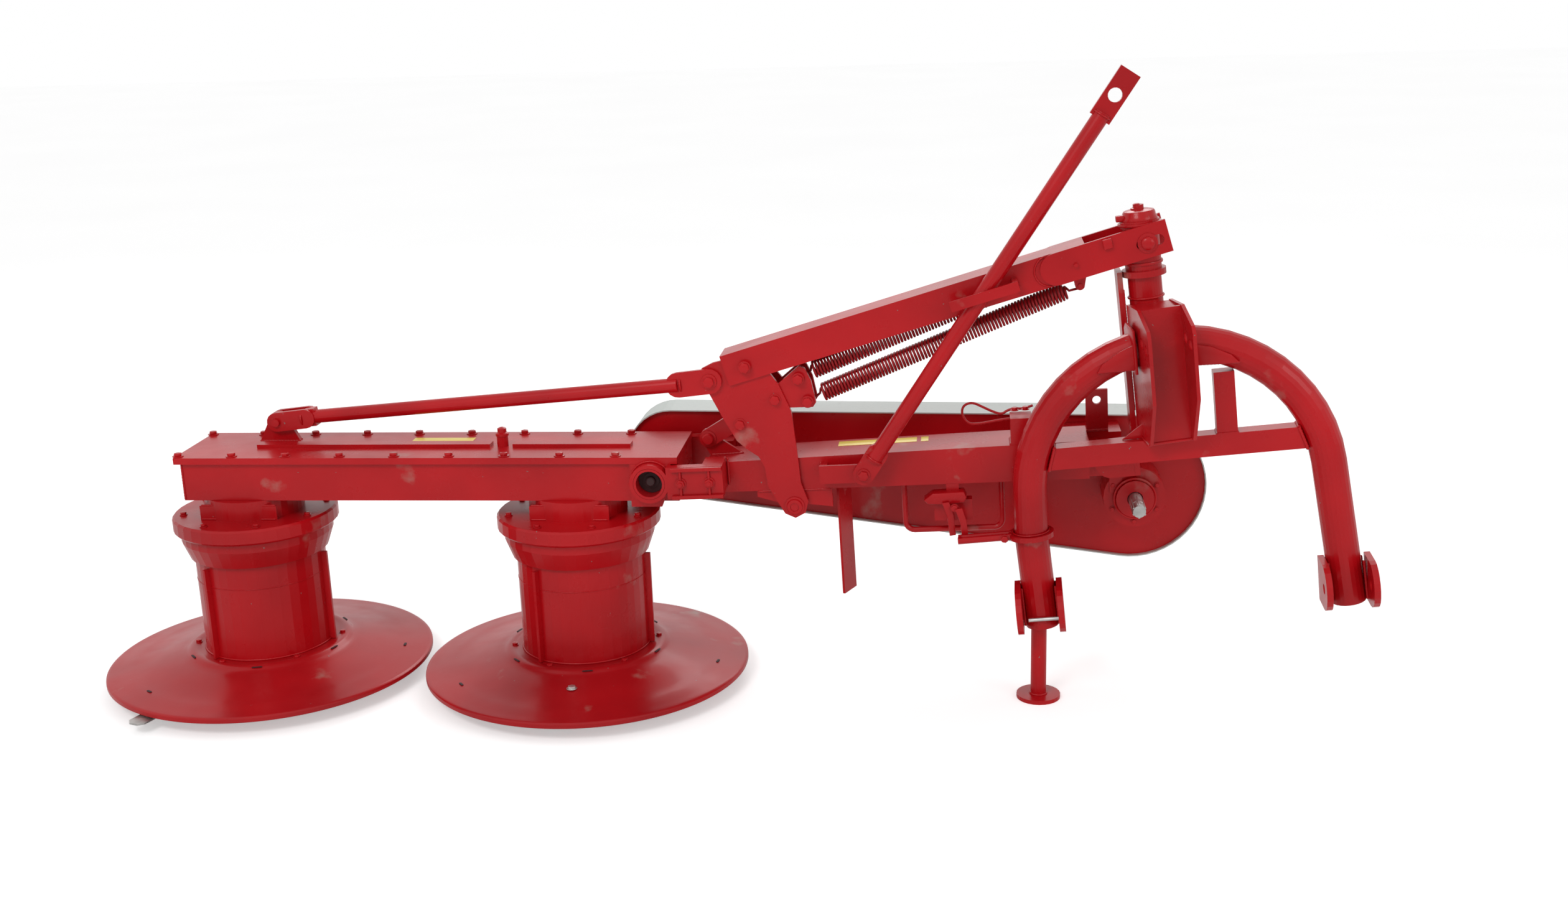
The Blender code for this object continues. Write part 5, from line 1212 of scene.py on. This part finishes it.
@dataclass(frozen=True)
class Linkage(Assembly):
    """Fasteners and welds of the lever, tie rod, upper arm, stay rod and the fine springs."""

    plate: float = -0.0600
    back: float = 0.0182
    arm_pin: Point = (0.239, -0.0770, 0.258)
    lever_spots: tuple[Point, ...] = ((0.3034, 0.1734), (0.361, 0.221), (0.380, 0.165), (0.2164, 0.1171))
    boss: Line = (
        (0.0235, 0.0), (0.0235, 0.0035), (0.0205, 0.0045), (0.0195, 0.0045), (0.0175, 0.0085),
        (0.0120, 0.0100), (0.0105, 0.0100), (0.0100, 0.0070),
    )
    head: Line = ((0.0195, 0.0), (0.0195, 0.0030), (0.0145, 0.0035), (0.0140, 0.0100), (0.0115, 0.0125))
    peg: Line = ((-0.010, -0.011), (0.010, -0.011), (0.011, 0.011), (-0.009, 0.012))
    washer: Line = (
        (0.0225, 0.0), (0.0225, 0.0030), (0.0150, 0.0036), (0.0145, 0.0120), (0.0120, 0.0145),
        (0.0060, 0.0155),
    )
    washer_at: Point = (0.9582, 0.0548)
    cheek_end: float = 0.700
    cheek_long: float = 0.037
    cheek_half: float = 0.036
    cheek_rise: float = 0.003
    cheek_y: float = 0.047773
    keeper: Line = ((0.6475, -0.0475, -0.012), (0.6475, -0.0475, 0.012))
    tie_outer: Point = (-0.763, 0.060, 0.652)
    tie_inner: Point = (0.152, -0.066, 0.226)
    stay_low: Point = (0.504, -0.092, -0.008)
    stay_high: Point = (1.098, -0.092, 0.830)
    ring_bead: float = 0.0028
    springs: tuple[tuple[str, Point, Point], ...] = (
        ("upper", (0.361, 0.221), (1.007, 0.459)), ("lower", (0.380, 0.165), (1.018, 0.404)),
    )

    def build(self) -> None:
        """Add all the linkage's trim."""
        self.lever()
        self.arm()
        beam = self.layout.beam
        tie_bolt = BoltRow("tie_eye_bolt", "tie_rod_body", Axis.FRONT, ((0.152, -0.0705, 0.226),),
                           HexBolt(0.023, 0.010, 0.0185, 0.003))
        stay_bolt = BoltRow("stay_bolt", "stay_rod_body", Axis.FRONT, ((0.504, -0.0982, -0.008),),
                            HexBolt(0.021, 0.010, 0.0155, 0.003))
        outer, inner = self.layout.cutter.at(self.tie_outer), beam.at(self.tie_inner)
        self.rod(Rod("tie_ring", "tie_rod_body", outer, inner, (0.068, -0.068), 0.0178, tie_bolt))
        self.rod(Rod("stay_ring", "stay_rod_body", beam.at(self.stay_low), beam.at(self.stay_high),
                     (0.046, -0.050), 0.0200, stay_bolt))
        for name, near, far in self.springs:
            self.add(beam, Spring("spring_coil_" + name, "spring_" + name, near, far))

    def lever(self) -> None:
        """Add the lever's bolts, its pivot's ring and the stop link's pin head."""
        body = "lever_body"
        front = tuple((x, self.plate, z) for x, z in self.lever_spots)
        back = tuple((x, self.back, z) for x, z in self.lever_spots[:3])
        self.add(
            self.layout.beam,
            BoltRow("lever_bolts", body, Axis.FRONT, front, HexBolt(0.021, 0.011, 0.0145)),
            BoltRow("lever_nuts", body, Axis.BACK, back, HexBolt(0.019, 0.009, 0.013, thread=0.003)),
            BoltRow("arm_pin_bolt", body, Axis.FRONT, (self.arm_pin,), HexBolt(0.022, 0.009, 0.0150)),
            Turned("lever_pivot_ring", body, (0.333, self.plate, -0.090), self.boss, axis=Axis.FRONT),
            Turned("stop_pin_head", "beam", (0.125, 0.0180, 0.065), self.head, axis=Axis.FRONT),
        )

    def arm(self) -> None:
        """Add the arm's peg, its end washers, the cheek welds and the keeper's weld."""
        place, body = self.layout.arm, "upper_arm_body"
        self.add(place, Flat("arm_peg", body, (0.873, -0.0645, 0.025), self.peg, 0.010, 0.0015))
        x, y = self.washer_at
        sides = (("front", Axis.FRONT, -1), ("back", Axis.BACK, 1))
        for side, axis, way in sides:
            self.add(place, Turned("arm_washer_" + side, body, (x, way * y, 0.0), self.washer, axis=axis))
        middle = self.cheek_end + self.cheek_long
        turns = [math.radians(step) for step in range(-80, 81, 16)]
        for side, _, way in sides:
            line = tuple((middle - self.cheek_long * math.cos(turn), way * self.cheek_y,
                          self.cheek_rise + self.cheek_half * math.sin(turn)) for turn in turns)
            self.add(place, WeldBead("cheek_weld_" + side, body, line, 0.0026))
        self.add(place, WeldBead("keeper_weld", body, self.keeper))

    def rod(self, rod: Rod) -> None:
        """Run weld rings round a rod and set its bolt.

        Args:
            rod: the rod, its ends in the model's frame.
        """
        along = (rod.end - rod.start).normalized()
        turn = Vector((0.0, 0.0, 1.0)).rotation_difference(along).to_matrix()
        for index, spot in enumerate(rod.spots, 1):
            centre = (rod.start if spot > 0.0 else rod.end) + along * spot
            ring = tuple(tuple(centre + turn @ Vector(point))
                         for point in ring_points((0.0, 0.0, 0.0), rod.radius, Axis.UP, 24))
            bead = WeldBead(f"{rod.name}_{index}", rod.body, ring, self.ring_bead, closed=True)
            self.add(self.layout.world, bead)
        self.add(self.layout.beam, rod.bolt)


@dataclass(frozen=True)
class Spring:
    """A close-wound balance spring with a hook at each end."""

    name: str
    node: str
    near: Point
    far: Point
    plane: float = -0.020
    coil: float = 0.0198
    wire: float = 0.0030
    hook: float = 0.034
    eye: float = 0.0088
    pitch: float = 0.0078
    steps: int = 16
    start_grow: float = 0.45

    def build(self, bench: Workbench, place: Place) -> None:
        """Wind the spring in place of its plain node.

        Args:
            bench: the workbench.
            place: the frame of the two hooks.
        """
        start = Vector((self.near[0], self.plane, self.near[1]))
        run = Vector((self.far[0], self.plane, self.far[1])) - start
        tilt = Matrix.Rotation(math.atan2(-run.z, run.x), 4, "Y")
        line = bench.wire(self.name, self.centre_line(run.length), self.wire, False, 2)
        piece = bench.merge(self.name, [(line, place.matrix @ Matrix.Translation(start) @ tilt)])
        bench.fit(piece, Finish.SPRING, "springs_body", 70.0)
        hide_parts(self.node)

    def centre_line(self, length: float) -> list[Point]:
        """Return the wire's line along +X, from hook to hook.

        Args:
            length: the distance between the two eyes.

        Returns:
            The points of the line.
        """
        wound = length - 2 * self.hook
        turns = round(wound / self.pitch)
        last = turns * self.steps
        hook = [(self.eye * math.cos(a), 0.0, self.eye * math.sin(a))
                for a in (math.radians(step) for step in range(100, 301, 20))]
        hook += [(self.hook * share, self.coil * share * math.sin(share), -self.eye * (1 - share))
                 for share in (0.35, 0.6, 0.8)]
        line = list(hook)
        for step in range(last + 1):
            angle = 2 * math.pi * step / self.steps
            grow = min(1.0, self.start_grow + min(step, last - step) / self.steps)
            line.append((self.hook + wound * step / last, self.coil * grow * math.sin(angle),
                         self.coil * grow * math.cos(angle)))
        return line + [(length - x, -y, z) for x, y, z in reversed(hook)]


@dataclass(frozen=True)
class BeamTrim(Assembly):
    """Stickers, clip, welds and latch on the main beam."""

    label_width: float = 0.040
    label_thick: float = 0.0006
    labels: tuple[tuple[str, float, float], ...] = (("long", 0.407, 0.190), ("short", 0.521, 0.018))
    label_y: float = 0.058
    label_lift: float = 0.0004
    deck_beads: tuple[WeldBead, ...] = (
        WeldBead("clamp_weld_left", "beam", ((0.7245, -0.041, 0.001), (0.7245, 0.022, 0.001))),
        WeldBead("clamp_weld_right", "beam", ((0.7760, -0.041, 0.001), (0.7760, 0.022, 0.001))),
        WeldBead("carry_weld", "beam", ((0.905, 0.0465, 0.001), (0.957, 0.0465, 0.001)), 0.0038),
        WeldBead("stop_lug_weld", "beam", ((0.003, 0.027, 0.001), (0.083, 0.027, 0.001))),
    )
    clamp_bolts: BoltRow = BoltRow(
        "clamp_bolts", "beam", Axis.UP, ((0.7380, -0.012, 0.0755), (0.7630, -0.012, 0.0760)),
        HexBolt(0.013, 0.006, 0.0095))
    clip: Line = (
        (0.9052, 0.1121), (0.8850, 0.1045), (0.8611, 0.1065), (0.8450, 0.1025), (0.8315, 0.0930),
        (0.8100, 0.1010), (0.7882, 0.1127), (0.7623, 0.1265), (0.7400, 0.1180), (0.7372, 0.0950),
        (0.7520, 0.0720), (0.7800, 0.0720), (0.8311, 0.0803), (0.8560, 0.0820),
    )
    clip_y: float = 0.0265
    clip_radius: float = 0.0030
    cap: Line = (
        (0.640, -0.086), (0.662, -0.070), (0.735, -0.068), (0.742, -0.082), (0.736, -0.094),
        (0.700, -0.098), (0.650, -0.096),
    )
    fork: Line = (
        (0.683, -0.092), (0.700, -0.090), (0.709, -0.120), (0.713, -0.172), (0.698, -0.174),
        (0.694, -0.124),
    )
    forks: tuple[tuple[str, Point], ...] = (
        ("left", (0.0, -0.0730, 0.0)), ("right", (0.030, -0.0870, -0.012)),
    )
    beam_beads: tuple[WeldBead, ...] = (
        WeldBead("stay_lug_weld", "beam", ((0.400, -0.0455, -0.030), (0.400, -0.0455, 0.014))),
        WeldBead("pivot_block_weld", "beam", ((0.245, -0.0440, -0.0545), (0.421, -0.0440, -0.0545))),
        WeldBead("tongue_weld", "beam", ((1.0305, -0.024, -0.040), (1.0305, -0.024, 0.030))),
    )
    latch_pin: BoltRow = BoltRow(
        "latch_pin", "beam", Axis.FRONT, ((0.712, -0.0736, -0.104),), HexBolt(0.015, 0.007, 0.010))
    hanger_bolt: BoltRow = BoltRow(
        "hanger_bolt", "beam", Axis.DOWN, ((0.445, 0.030, -0.0712),),
        HexBolt(0.013, 0.008, 0.010, thread=0.012))

    def build(self) -> None:
        """Add the stickers and welds on the beam's top, the clip, the latch and the other welds."""
        deck, beam = self.layout.deck, self.layout.beam
        for name, x, long in self.labels:
            size = (long, self.label_width, self.label_thick)
            self.add(deck, Block("deck_sticker_" + name, "beam", (x, self.label_y, self.label_lift), size,
                                 LABEL_EASE, finish=Finish.YELLOW))
        self.add(deck, *self.deck_beads, self.clamp_bolts)
        clip = tuple((x, self.clip_y, z) for x, z in self.clip)
        self.add(
            beam,
            Bent("wire_clip", "beam", (0.0, 0.0, 0.0), clip, self.clip_radius, True),
            Flat("latch_cap", "beam", (0.0, -0.066, 0.0), self.cap, 0.040, 0.003),
        )
        for name, spot in self.forks:
            self.add(beam, Flat("latch_fork_" + name, "beam", spot, self.fork, 0.006, 0.0012))
        self.add(beam, self.latch_pin, *self.beam_beads, self.hanger_bolt)


@dataclass(frozen=True)
class Drive(Assembly):
    """Splined input stub and the trim of its bearing housing."""

    stub_x: float = 1.355
    stub_y: float = -0.0195
    stub_z: float = 0.440
    core: Line = (
        (0.0145, 0.0), (0.0155, 0.0015), (0.0155, 0.030), (0.0128, 0.0325), (0.0128, 0.0385),
        (0.0155, 0.041), (0.0155, 0.075), (0.0170, 0.078), (0.0170, 0.215),
    )
    tooth: Line = ((-0.0024, 0.0140), (0.0024, 0.0140), (0.0020, 0.0173), (-0.0020, 0.0173))
    tooth_long: float = 0.073
    tooth_start: float = 0.001
    teeth: int = 6
    band: Line = ((0.0465, 0.0), (0.0520, 0.0), (0.0520, 0.005), (0.0490, 0.006), (0.0465, 0.005))
    band_y: float = 0.0905
    bolt_y: float = 0.0998
    bolt_ring: float = 0.0610
    bolt: HexBolt = HexBolt(0.010, 0.005, 0.0072)

    def build(self) -> None:
        """Replace the plain stub and trim the shield."""
        place, x, z = self.layout.cutter, self.stub_x, self.stub_z
        core = self.bench.lathe("core", self.core, 40)
        tooth = self.bench.plate("tooth", self.tooth, self.tooth_long, 0.0005)
        base = place.matrix @ Matrix.Translation((x, self.stub_y, z))
        parts = [(core, base @ Matrix.Rotation(-math.pi / 2, 4, "X"))]
        for index in range(self.teeth):
            spin = Matrix.Rotation(2 * math.pi * index / self.teeth, 4, "Y")
            parts.append((tooth, base @ spin @ Matrix.Translation((0.0, self.tooth_start, 0.0))))
        piece = self.bench.merge("splined_stub", parts)
        self.bench.fit(piece, Finish.STEEL, "input", 35.0)
        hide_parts("input_stub")
        ring = ring_points((x, self.bolt_y, z), self.bolt_ring, Axis.FRONT, 6, 30.0)
        self.add(
            place,
            Turned("shield_band", "beam", (x, self.band_y, z), self.band, 48, True, axis=Axis.FRONT),
            BoltRow("housing_bolts", "beam", Axis.FRONT, ring, self.bolt),
        )


@dataclass(frozen=True)
class Swivel(Assembly):
    """Cap, rings and welds of the swivelling head."""

    ring: Line = ((0.0448, 0.0), (0.0485, 0.0008), (0.0495, 0.0040), (0.0485, 0.0072), (0.0448, 0.0080))
    cap: Line = (
        (0.0400, 0.0), (0.0405, 0.0060), (0.0375, 0.0105), (0.0365, 0.0175), (0.0340, 0.0215),
        (0.0240, 0.0240), (0.0150, 0.0248),
    )
    knob: Line = (
        (0.0140, 0.0), (0.0140, 0.0035), (0.0090, 0.0050), (0.0075, 0.0090), (0.0085, 0.0115),
        (0.0060, 0.0135),
    )
    collar: Line = ((0.0413, 0.0), (0.0440, 0.0006), (0.0448, 0.0035), (0.0440, 0.0064), (0.0413, 0.0070))
    strap: Line = ((-0.0505, -0.0205, 0.120), (-0.0505, -0.0205, 0.405))

    def build(self) -> None:
        """Add the head's trim."""
        body = "swivel"
        self.add(
            self.layout.post,
            Turned("head_ring", body, (0.0, 0.0, 0.5445), self.ring, 48, True),
            Turned("head_cap", body, (0.0, 0.0, 0.5555), self.cap, 48),
            Turned("grease_cap", body, (-0.004, 0.0, 0.5795), self.knob, 24),
            Block("head_ear", body, (-0.0430, -0.006, 0.5640), (0.020, 0.016, 0.014), 0.002),
            WeldBead("strap_weld", body, self.strap, 0.0022),
            Turned("head_collar", body, (0.0, 0.0, 0.4560), self.collar, 48, True),
        )


@dataclass(frozen=True)
class Hitch(Assembly):
    """Gussets, weld beads and fasteners of the arch and the tower."""

    body: str = "hitch"
    gussets: tuple[tuple[str, Line], ...] = (
        ("left", ((-0.162, 0.292), (-0.072, 0.292), (-0.070, 0.352), (-0.110, 0.336), (-0.150, 0.310))),
        ("right", ((0.048, 0.290), (0.150, 0.286), (0.132, 0.306), (0.090, 0.328), (0.048, 0.338))),
    )
    gusset_y: float = -0.0485
    gusset_thick: float = 0.008
    small: Line = ((-0.118, 0.1205), (-0.062, 0.1205), (-0.062, 0.160))
    bar_top: float = 0.1196
    bar_low: float = 0.0686
    bar_depth: float = 0.0225
    bar_high_x: float = 0.2715
    bar_low_x: float = 0.2880
    strut_x: tuple[float, float] = (0.093, 0.139)
    strut_half: float = 0.020
    tube: float = 0.0391
    ears: tuple[tuple[str, int, float, float, float], ...] = (
        ("left", -1, -0.3365, -0.314, -0.0283), ("right", 1, 0.3645, -0.309, -0.0866),
    )
    ear_edges: tuple[tuple[str, float], ...] = (("front", -0.020), ("back", 0.016))
    ear_heights: tuple[float, ...] = (0.006, 0.050, 0.100)
    flange: Line = ((-0.048, -0.050), (0.048, -0.050), (0.052, 0.040), (0.030, 0.056), (-0.048, 0.050))
    flange_x: float = 0.0590
    tower_x: float = 0.0530
    tower_bead: float = 0.0036
    latch_ring: float = 0.0425
    latch_pin: Point = (-0.405, -0.0195, -0.087)
    pin: Line = ((-0.030, 0.0, 0.0), (0.0, 0.0, 0.0), (0.045, 0.0, 0.0))

    def build(self) -> None:
        """Add the hitch frame's trim."""
        place, body = self.layout.arch, self.body
        self.gusset_plates(place)
        self.bar_welds(place)
        self.ear_welds(place)
        self.tower_trim(self.layout.hitch)
        ring = ring_points((-0.343, 0.0, -0.079), self.latch_ring, Axis.UP, 24)
        self.add(
            place,
            WeldBead("latch_ring_weld", body, ring, 0.0024, closed=True),
            BoltRow("latch_bolt", body, Axis.FRONT, (self.latch_pin,), HexBolt(0.015, 0.008, 0.010)),
            Bent("stand_pin", body, (-0.3375, -0.0455, -0.285), self.pin, 0.0045, finish=Finish.ZINC),
        )

    def gusset_plates(self, place: Place) -> None:
        """Add the bent gussets between the arch and the tower, and the small one below.

        Args:
            place: the arch's frame.
        """
        spot = (0.0, self.gusset_y, 0.0)
        for side, outline in self.gussets:
            edge = tuple((x, self.gusset_y + self.gusset_thick, z) for x, z in outline[:2])
            self.add(
                place,
                Flat("gusset_" + side, self.body, spot, outline, self.gusset_thick, 0.0015),
                WeldBead(f"gusset_{side}_weld", self.body, edge),
            )
        self.add(place, Flat("tower_gusset", self.body, (0.0, -0.003, 0.0), self.small, 0.006))

    def bar_welds(self, place: Place) -> None:
        """Weld the crossbar's ends and the strut's foot.

        Args:
            place: the arch's frame.
        """
        depth = self.bar_depth
        for side, way in (("left", -1), ("right", 1)):
            high, low = way * self.bar_high_x, way * self.bar_low_x
            loop = ((high, -depth, self.bar_top), (low, -depth, self.bar_low), (low, depth, self.bar_low),
                    (high, depth, self.bar_top))
            self.add(place, WeldBead("bar_weld_" + side, self.body, loop, 0.0042, closed=True))
        (left, right), half, z = self.strut_x, self.strut_half, self.bar_top
        loop = ((left, -half, z), (right, -half, z), (right, half, z), (left, half, z))
        self.add(place, WeldBead("strut_weld", self.body, loop, closed=True))

    def ear_welds(self, place: Place) -> None:
        """Weld the four ears to the legs, which lean a little.

        Args:
            place: the arch's frame.
        """
        for side, out, foot_x, foot_z, lean in self.ears:
            for part, way in (("outer", out), ("inner", -out)):
                x = foot_x + way * self.tube
                for edge, y in self.ear_edges:
                    line = tuple((x + lean * z * 0.6, y, foot_z + z) for z in self.ear_heights)
                    self.add(place, WeldBead(f"ear_weld_{side}_{part}_{edge}", self.body, line, 0.0036))

    def tower_trim(self, place: Place) -> None:
        """Add the flanges where the arch meets the tower, and the tower's welds.

        Args:
            place: the tower's frame.
        """
        sides = (("left", -1), ("right", 1))
        for side, way in sides:
            spot = (way * self.flange_x, -0.0925, 0.2830)
            flange = Flat("tower_flange_" + side, self.body, spot, self.flange, 0.006, 0.0015, spin=90.0)
            self.add(place, flange)
        for side, way in sides:
            x = way * self.tower_x
            line = ((x, -0.1580, 0.0715), (x, -0.0800, 0.0715))
            self.add(place, WeldBead("tower_weld_" + side, self.body, line, self.tower_bead))
        front = ((-0.050, -0.1515, 0.0720), (0.050, -0.1515, 0.0720))
        post = ring_points((0.0, 0.0, 0.3805), 0.0392, Axis.UP)
        self.add(
            place,
            WeldBead("tower_weld_front", self.body, front, self.tower_bead),
            WeldBead("post_weld", self.body, post, closed=True),
        )


@dataclass(frozen=True)
class Stand(Assembly):
    """Weld of the parking stand's foot."""

    weld_radius: float = 0.0193
    weld_height: float = 0.0112

    def build(self) -> None:
        """Add the foot's weld."""
        low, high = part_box("parking_stand")
        centre = ((low[0] + high[0]) / 2, (low[1] + high[1]) / 2, self.weld_height)
        ring = ring_points(centre, self.weld_radius, Axis.UP, 24)
        self.add(self.layout.world, WeldBead("stand_weld", "stand", ring, closed=True))


@dataclass(frozen=True)
class Nodes:
    """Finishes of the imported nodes."""

    paint: Paintshop
    nodes: dict[str, bpy.types.Object]

    FINISHES = {
        "disc_1": Finish.SAUCER, "disc_2": Finish.SAUCER,
        "skid_1": Finish.SKID, "skid_2": Finish.SKID,
        "spring_upper": Finish.SPRING, "spring_lower": Finish.SPRING,
        "input_stub": Finish.STEEL, "guard_cover": Finish.GREY,
    }

    def build(self) -> None:
        """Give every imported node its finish."""
        for name, obj in self.nodes.items():
            finish = self.FINISHES.get(name, Finish.RED)
            if name.startswith("knife"):
                finish = Finish.STEEL
            self.paint.coat(obj, finish)
            LOG.info("node %s has %s", name, finish.name)


@dataclass(frozen=True)
class PhotoCamera:
    """The camera that took the photograph, fitted to the two saucers."""

    offset: Point = (0.931, -3.908, 1.680)
    yaw: float = -0.107
    pitch: float = 0.275
    roll: float = -0.031
    focal_pixels: float = 2726.2
    width: float = 2520.0
    sensor: float = 36.0

    def build(self, layout: Layout) -> None:
        """Add the camera and make it the scene's camera.

        Args:
            layout: the mower's frames.
        """
        data = bpy.data.cameras.new("photo_camera")
        data.sensor_fit = "HORIZONTAL"
        data.sensor_width = self.sensor
        data.lens = self.sensor * self.focal_pixels / self.width
        obj = add_object("photo_camera", data)
        ahead0 = Vector((math.sin(self.yaw), math.cos(self.yaw), 0.0))
        right0 = Vector((math.cos(self.yaw), -math.sin(self.yaw), 0.0))
        ahead = ahead0 * math.cos(self.pitch) - Vector((0.0, 0.0, 1.0)) * math.sin(self.pitch)
        up0 = Vector((0.0, 0.0, 1.0)) * math.cos(self.pitch) + ahead0 * math.sin(self.pitch)
        right = right0 * math.cos(self.roll) + up0 * math.sin(self.roll)
        up = up0 * math.cos(self.roll) - right0 * math.sin(self.roll)
        turn = Matrix((right, up, -ahead)).transposed().to_4x4()
        obj.matrix_world = Matrix.Translation(layout.cutter.at(self.offset)) @ turn
        bpy.context.scene.camera = obj


@dataclass(frozen=True)
class Lamp:
    """A soft rectangular light aimed at a point."""

    name: str
    place: Point
    aim: Point
    power: float
    size: float
    shape: float = 0.6

    def build(self) -> None:
        """Add the light."""
        data = bpy.data.lights.new(self.name, "AREA")
        data.energy = self.power
        data.shape = "RECTANGLE"
        data.size = self.size
        data.size_y = self.size * self.shape
        obj = add_object(self.name, data)
        obj.location = self.place
        aim = Vector(self.aim) - Vector(self.place)
        obj.rotation_mode = "QUATERNION"
        obj.rotation_quaternion = aim.to_track_quat("-Z", "Y")


@dataclass(frozen=True)
class Studio:
    """A pale floor, a pale surround and soft lights."""

    lamps: tuple[Lamp, ...] = field(default_factory=lambda: (
        Lamp("key", (-1.6, -4.2, 4.4), (0.0, 0.0, 0.4), 95.0, 2.2),
        Lamp("fill", (4.4, -3.0, 2.6), (0.2, 0.0, 0.4), 30.0, 2.4),
        Lamp("back", (0.4, 4.2, 3.6), (0.0, 0.0, 0.4), 60.0, 3.0),
    ))
    world: float = 0.60
    lift: float = 0.42

    def build(self) -> None:
        """Add the floor, the world light and the lamps."""
        bpy.ops.object.select_all(action="DESELECT")
        bpy.ops.mesh.primitive_plane_add(size=60.0)
        floor = Workbench.fresh("studio_floor")
        tree = NodeTree("studio_floor")
        pale = tree.ramp(tree.noise(Grain(0.6)), ((0.3, (0.90, 0.90, 0.90)), (0.7, (0.93, 0.93, 0.93))))
        tree.join(pale, tree.shader.inputs["Base Color"])
        tree.shader.inputs["Roughness"].default_value = 0.9
        tree.shader.inputs["Specular IOR Level"].default_value = 0.1
        tree.shader.inputs["Emission Color"].default_value = (1.0, 1.0, 1.0, 1.0)
        seen = tree.node("ShaderNodeMath", operation="MULTIPLY")
        seen.inputs[1].default_value = self.lift
        tree.join(tree.node("ShaderNodeLightPath").outputs["Is Camera Ray"], seen.inputs[0])
        tree.join(seen.outputs["Value"], tree.shader.inputs["Emission Strength"])
        floor.data.materials.append(tree.material)
        world = bpy.data.worlds.new("studio")
        world.use_nodes = True
        sky = world.node_tree.nodes["Background"]
        sky.inputs["Color"].default_value = (1.0, 1.0, 1.0, 1.0)
        self.backdrop(world.node_tree, sky.inputs["Strength"])
        bpy.context.scene.world = world
        for lamp in self.lamps:
            lamp.build()

    def backdrop(self, nodes: bpy.types.NodeTree, strength: bpy.types.NodeSocket) -> None:
        """Show plain white behind the mower and a softer light on it.

        Args:
            nodes: the world's node tree.
            strength: the background's strength socket.
        """
        path = nodes.nodes.new("ShaderNodeLightPath")
        seen = path.outputs["Is Camera Ray"]
        for other in ("Is Glossy Ray", "Is Transmission Ray"):
            most = nodes.nodes.new("ShaderNodeMath")
            most.operation = "MAXIMUM"
            nodes.links.new(seen, most.inputs[0])
            nodes.links.new(path.outputs[other], most.inputs[1])
            seen = most.outputs["Value"]
        span = nodes.nodes.new("ShaderNodeMapRange")
        span.inputs["To Min"].default_value = self.world
        span.inputs["To Max"].default_value = 1.0
        nodes.links.new(seen, span.inputs["Value"])
        nodes.links.new(span.outputs["Result"], strength)


def main() -> None:
    """Load the frame, dress it and set the scene."""
    logging.basicConfig(level=logging.INFO, format="%(name)s: %(message)s")
    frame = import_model()
    paint = Paintshop()
    bench = Workbench(paint)
    layout = Layout()
    PhotoCamera().build(layout)
    Studio().build()
    Nodes(paint, frame["nodes"]).build()
    for group in (CutterBar, Drum, HingeBracket, Linkage, BeamTrim, Drive, Swivel, Hitch, Stand):
        group(bench, layout).build()
    bpy.context.scene.view_settings.view_transform = "Standard"
    LOG.info("%d pieces added", bench.count)


if __name__ == "__main__":
    main()
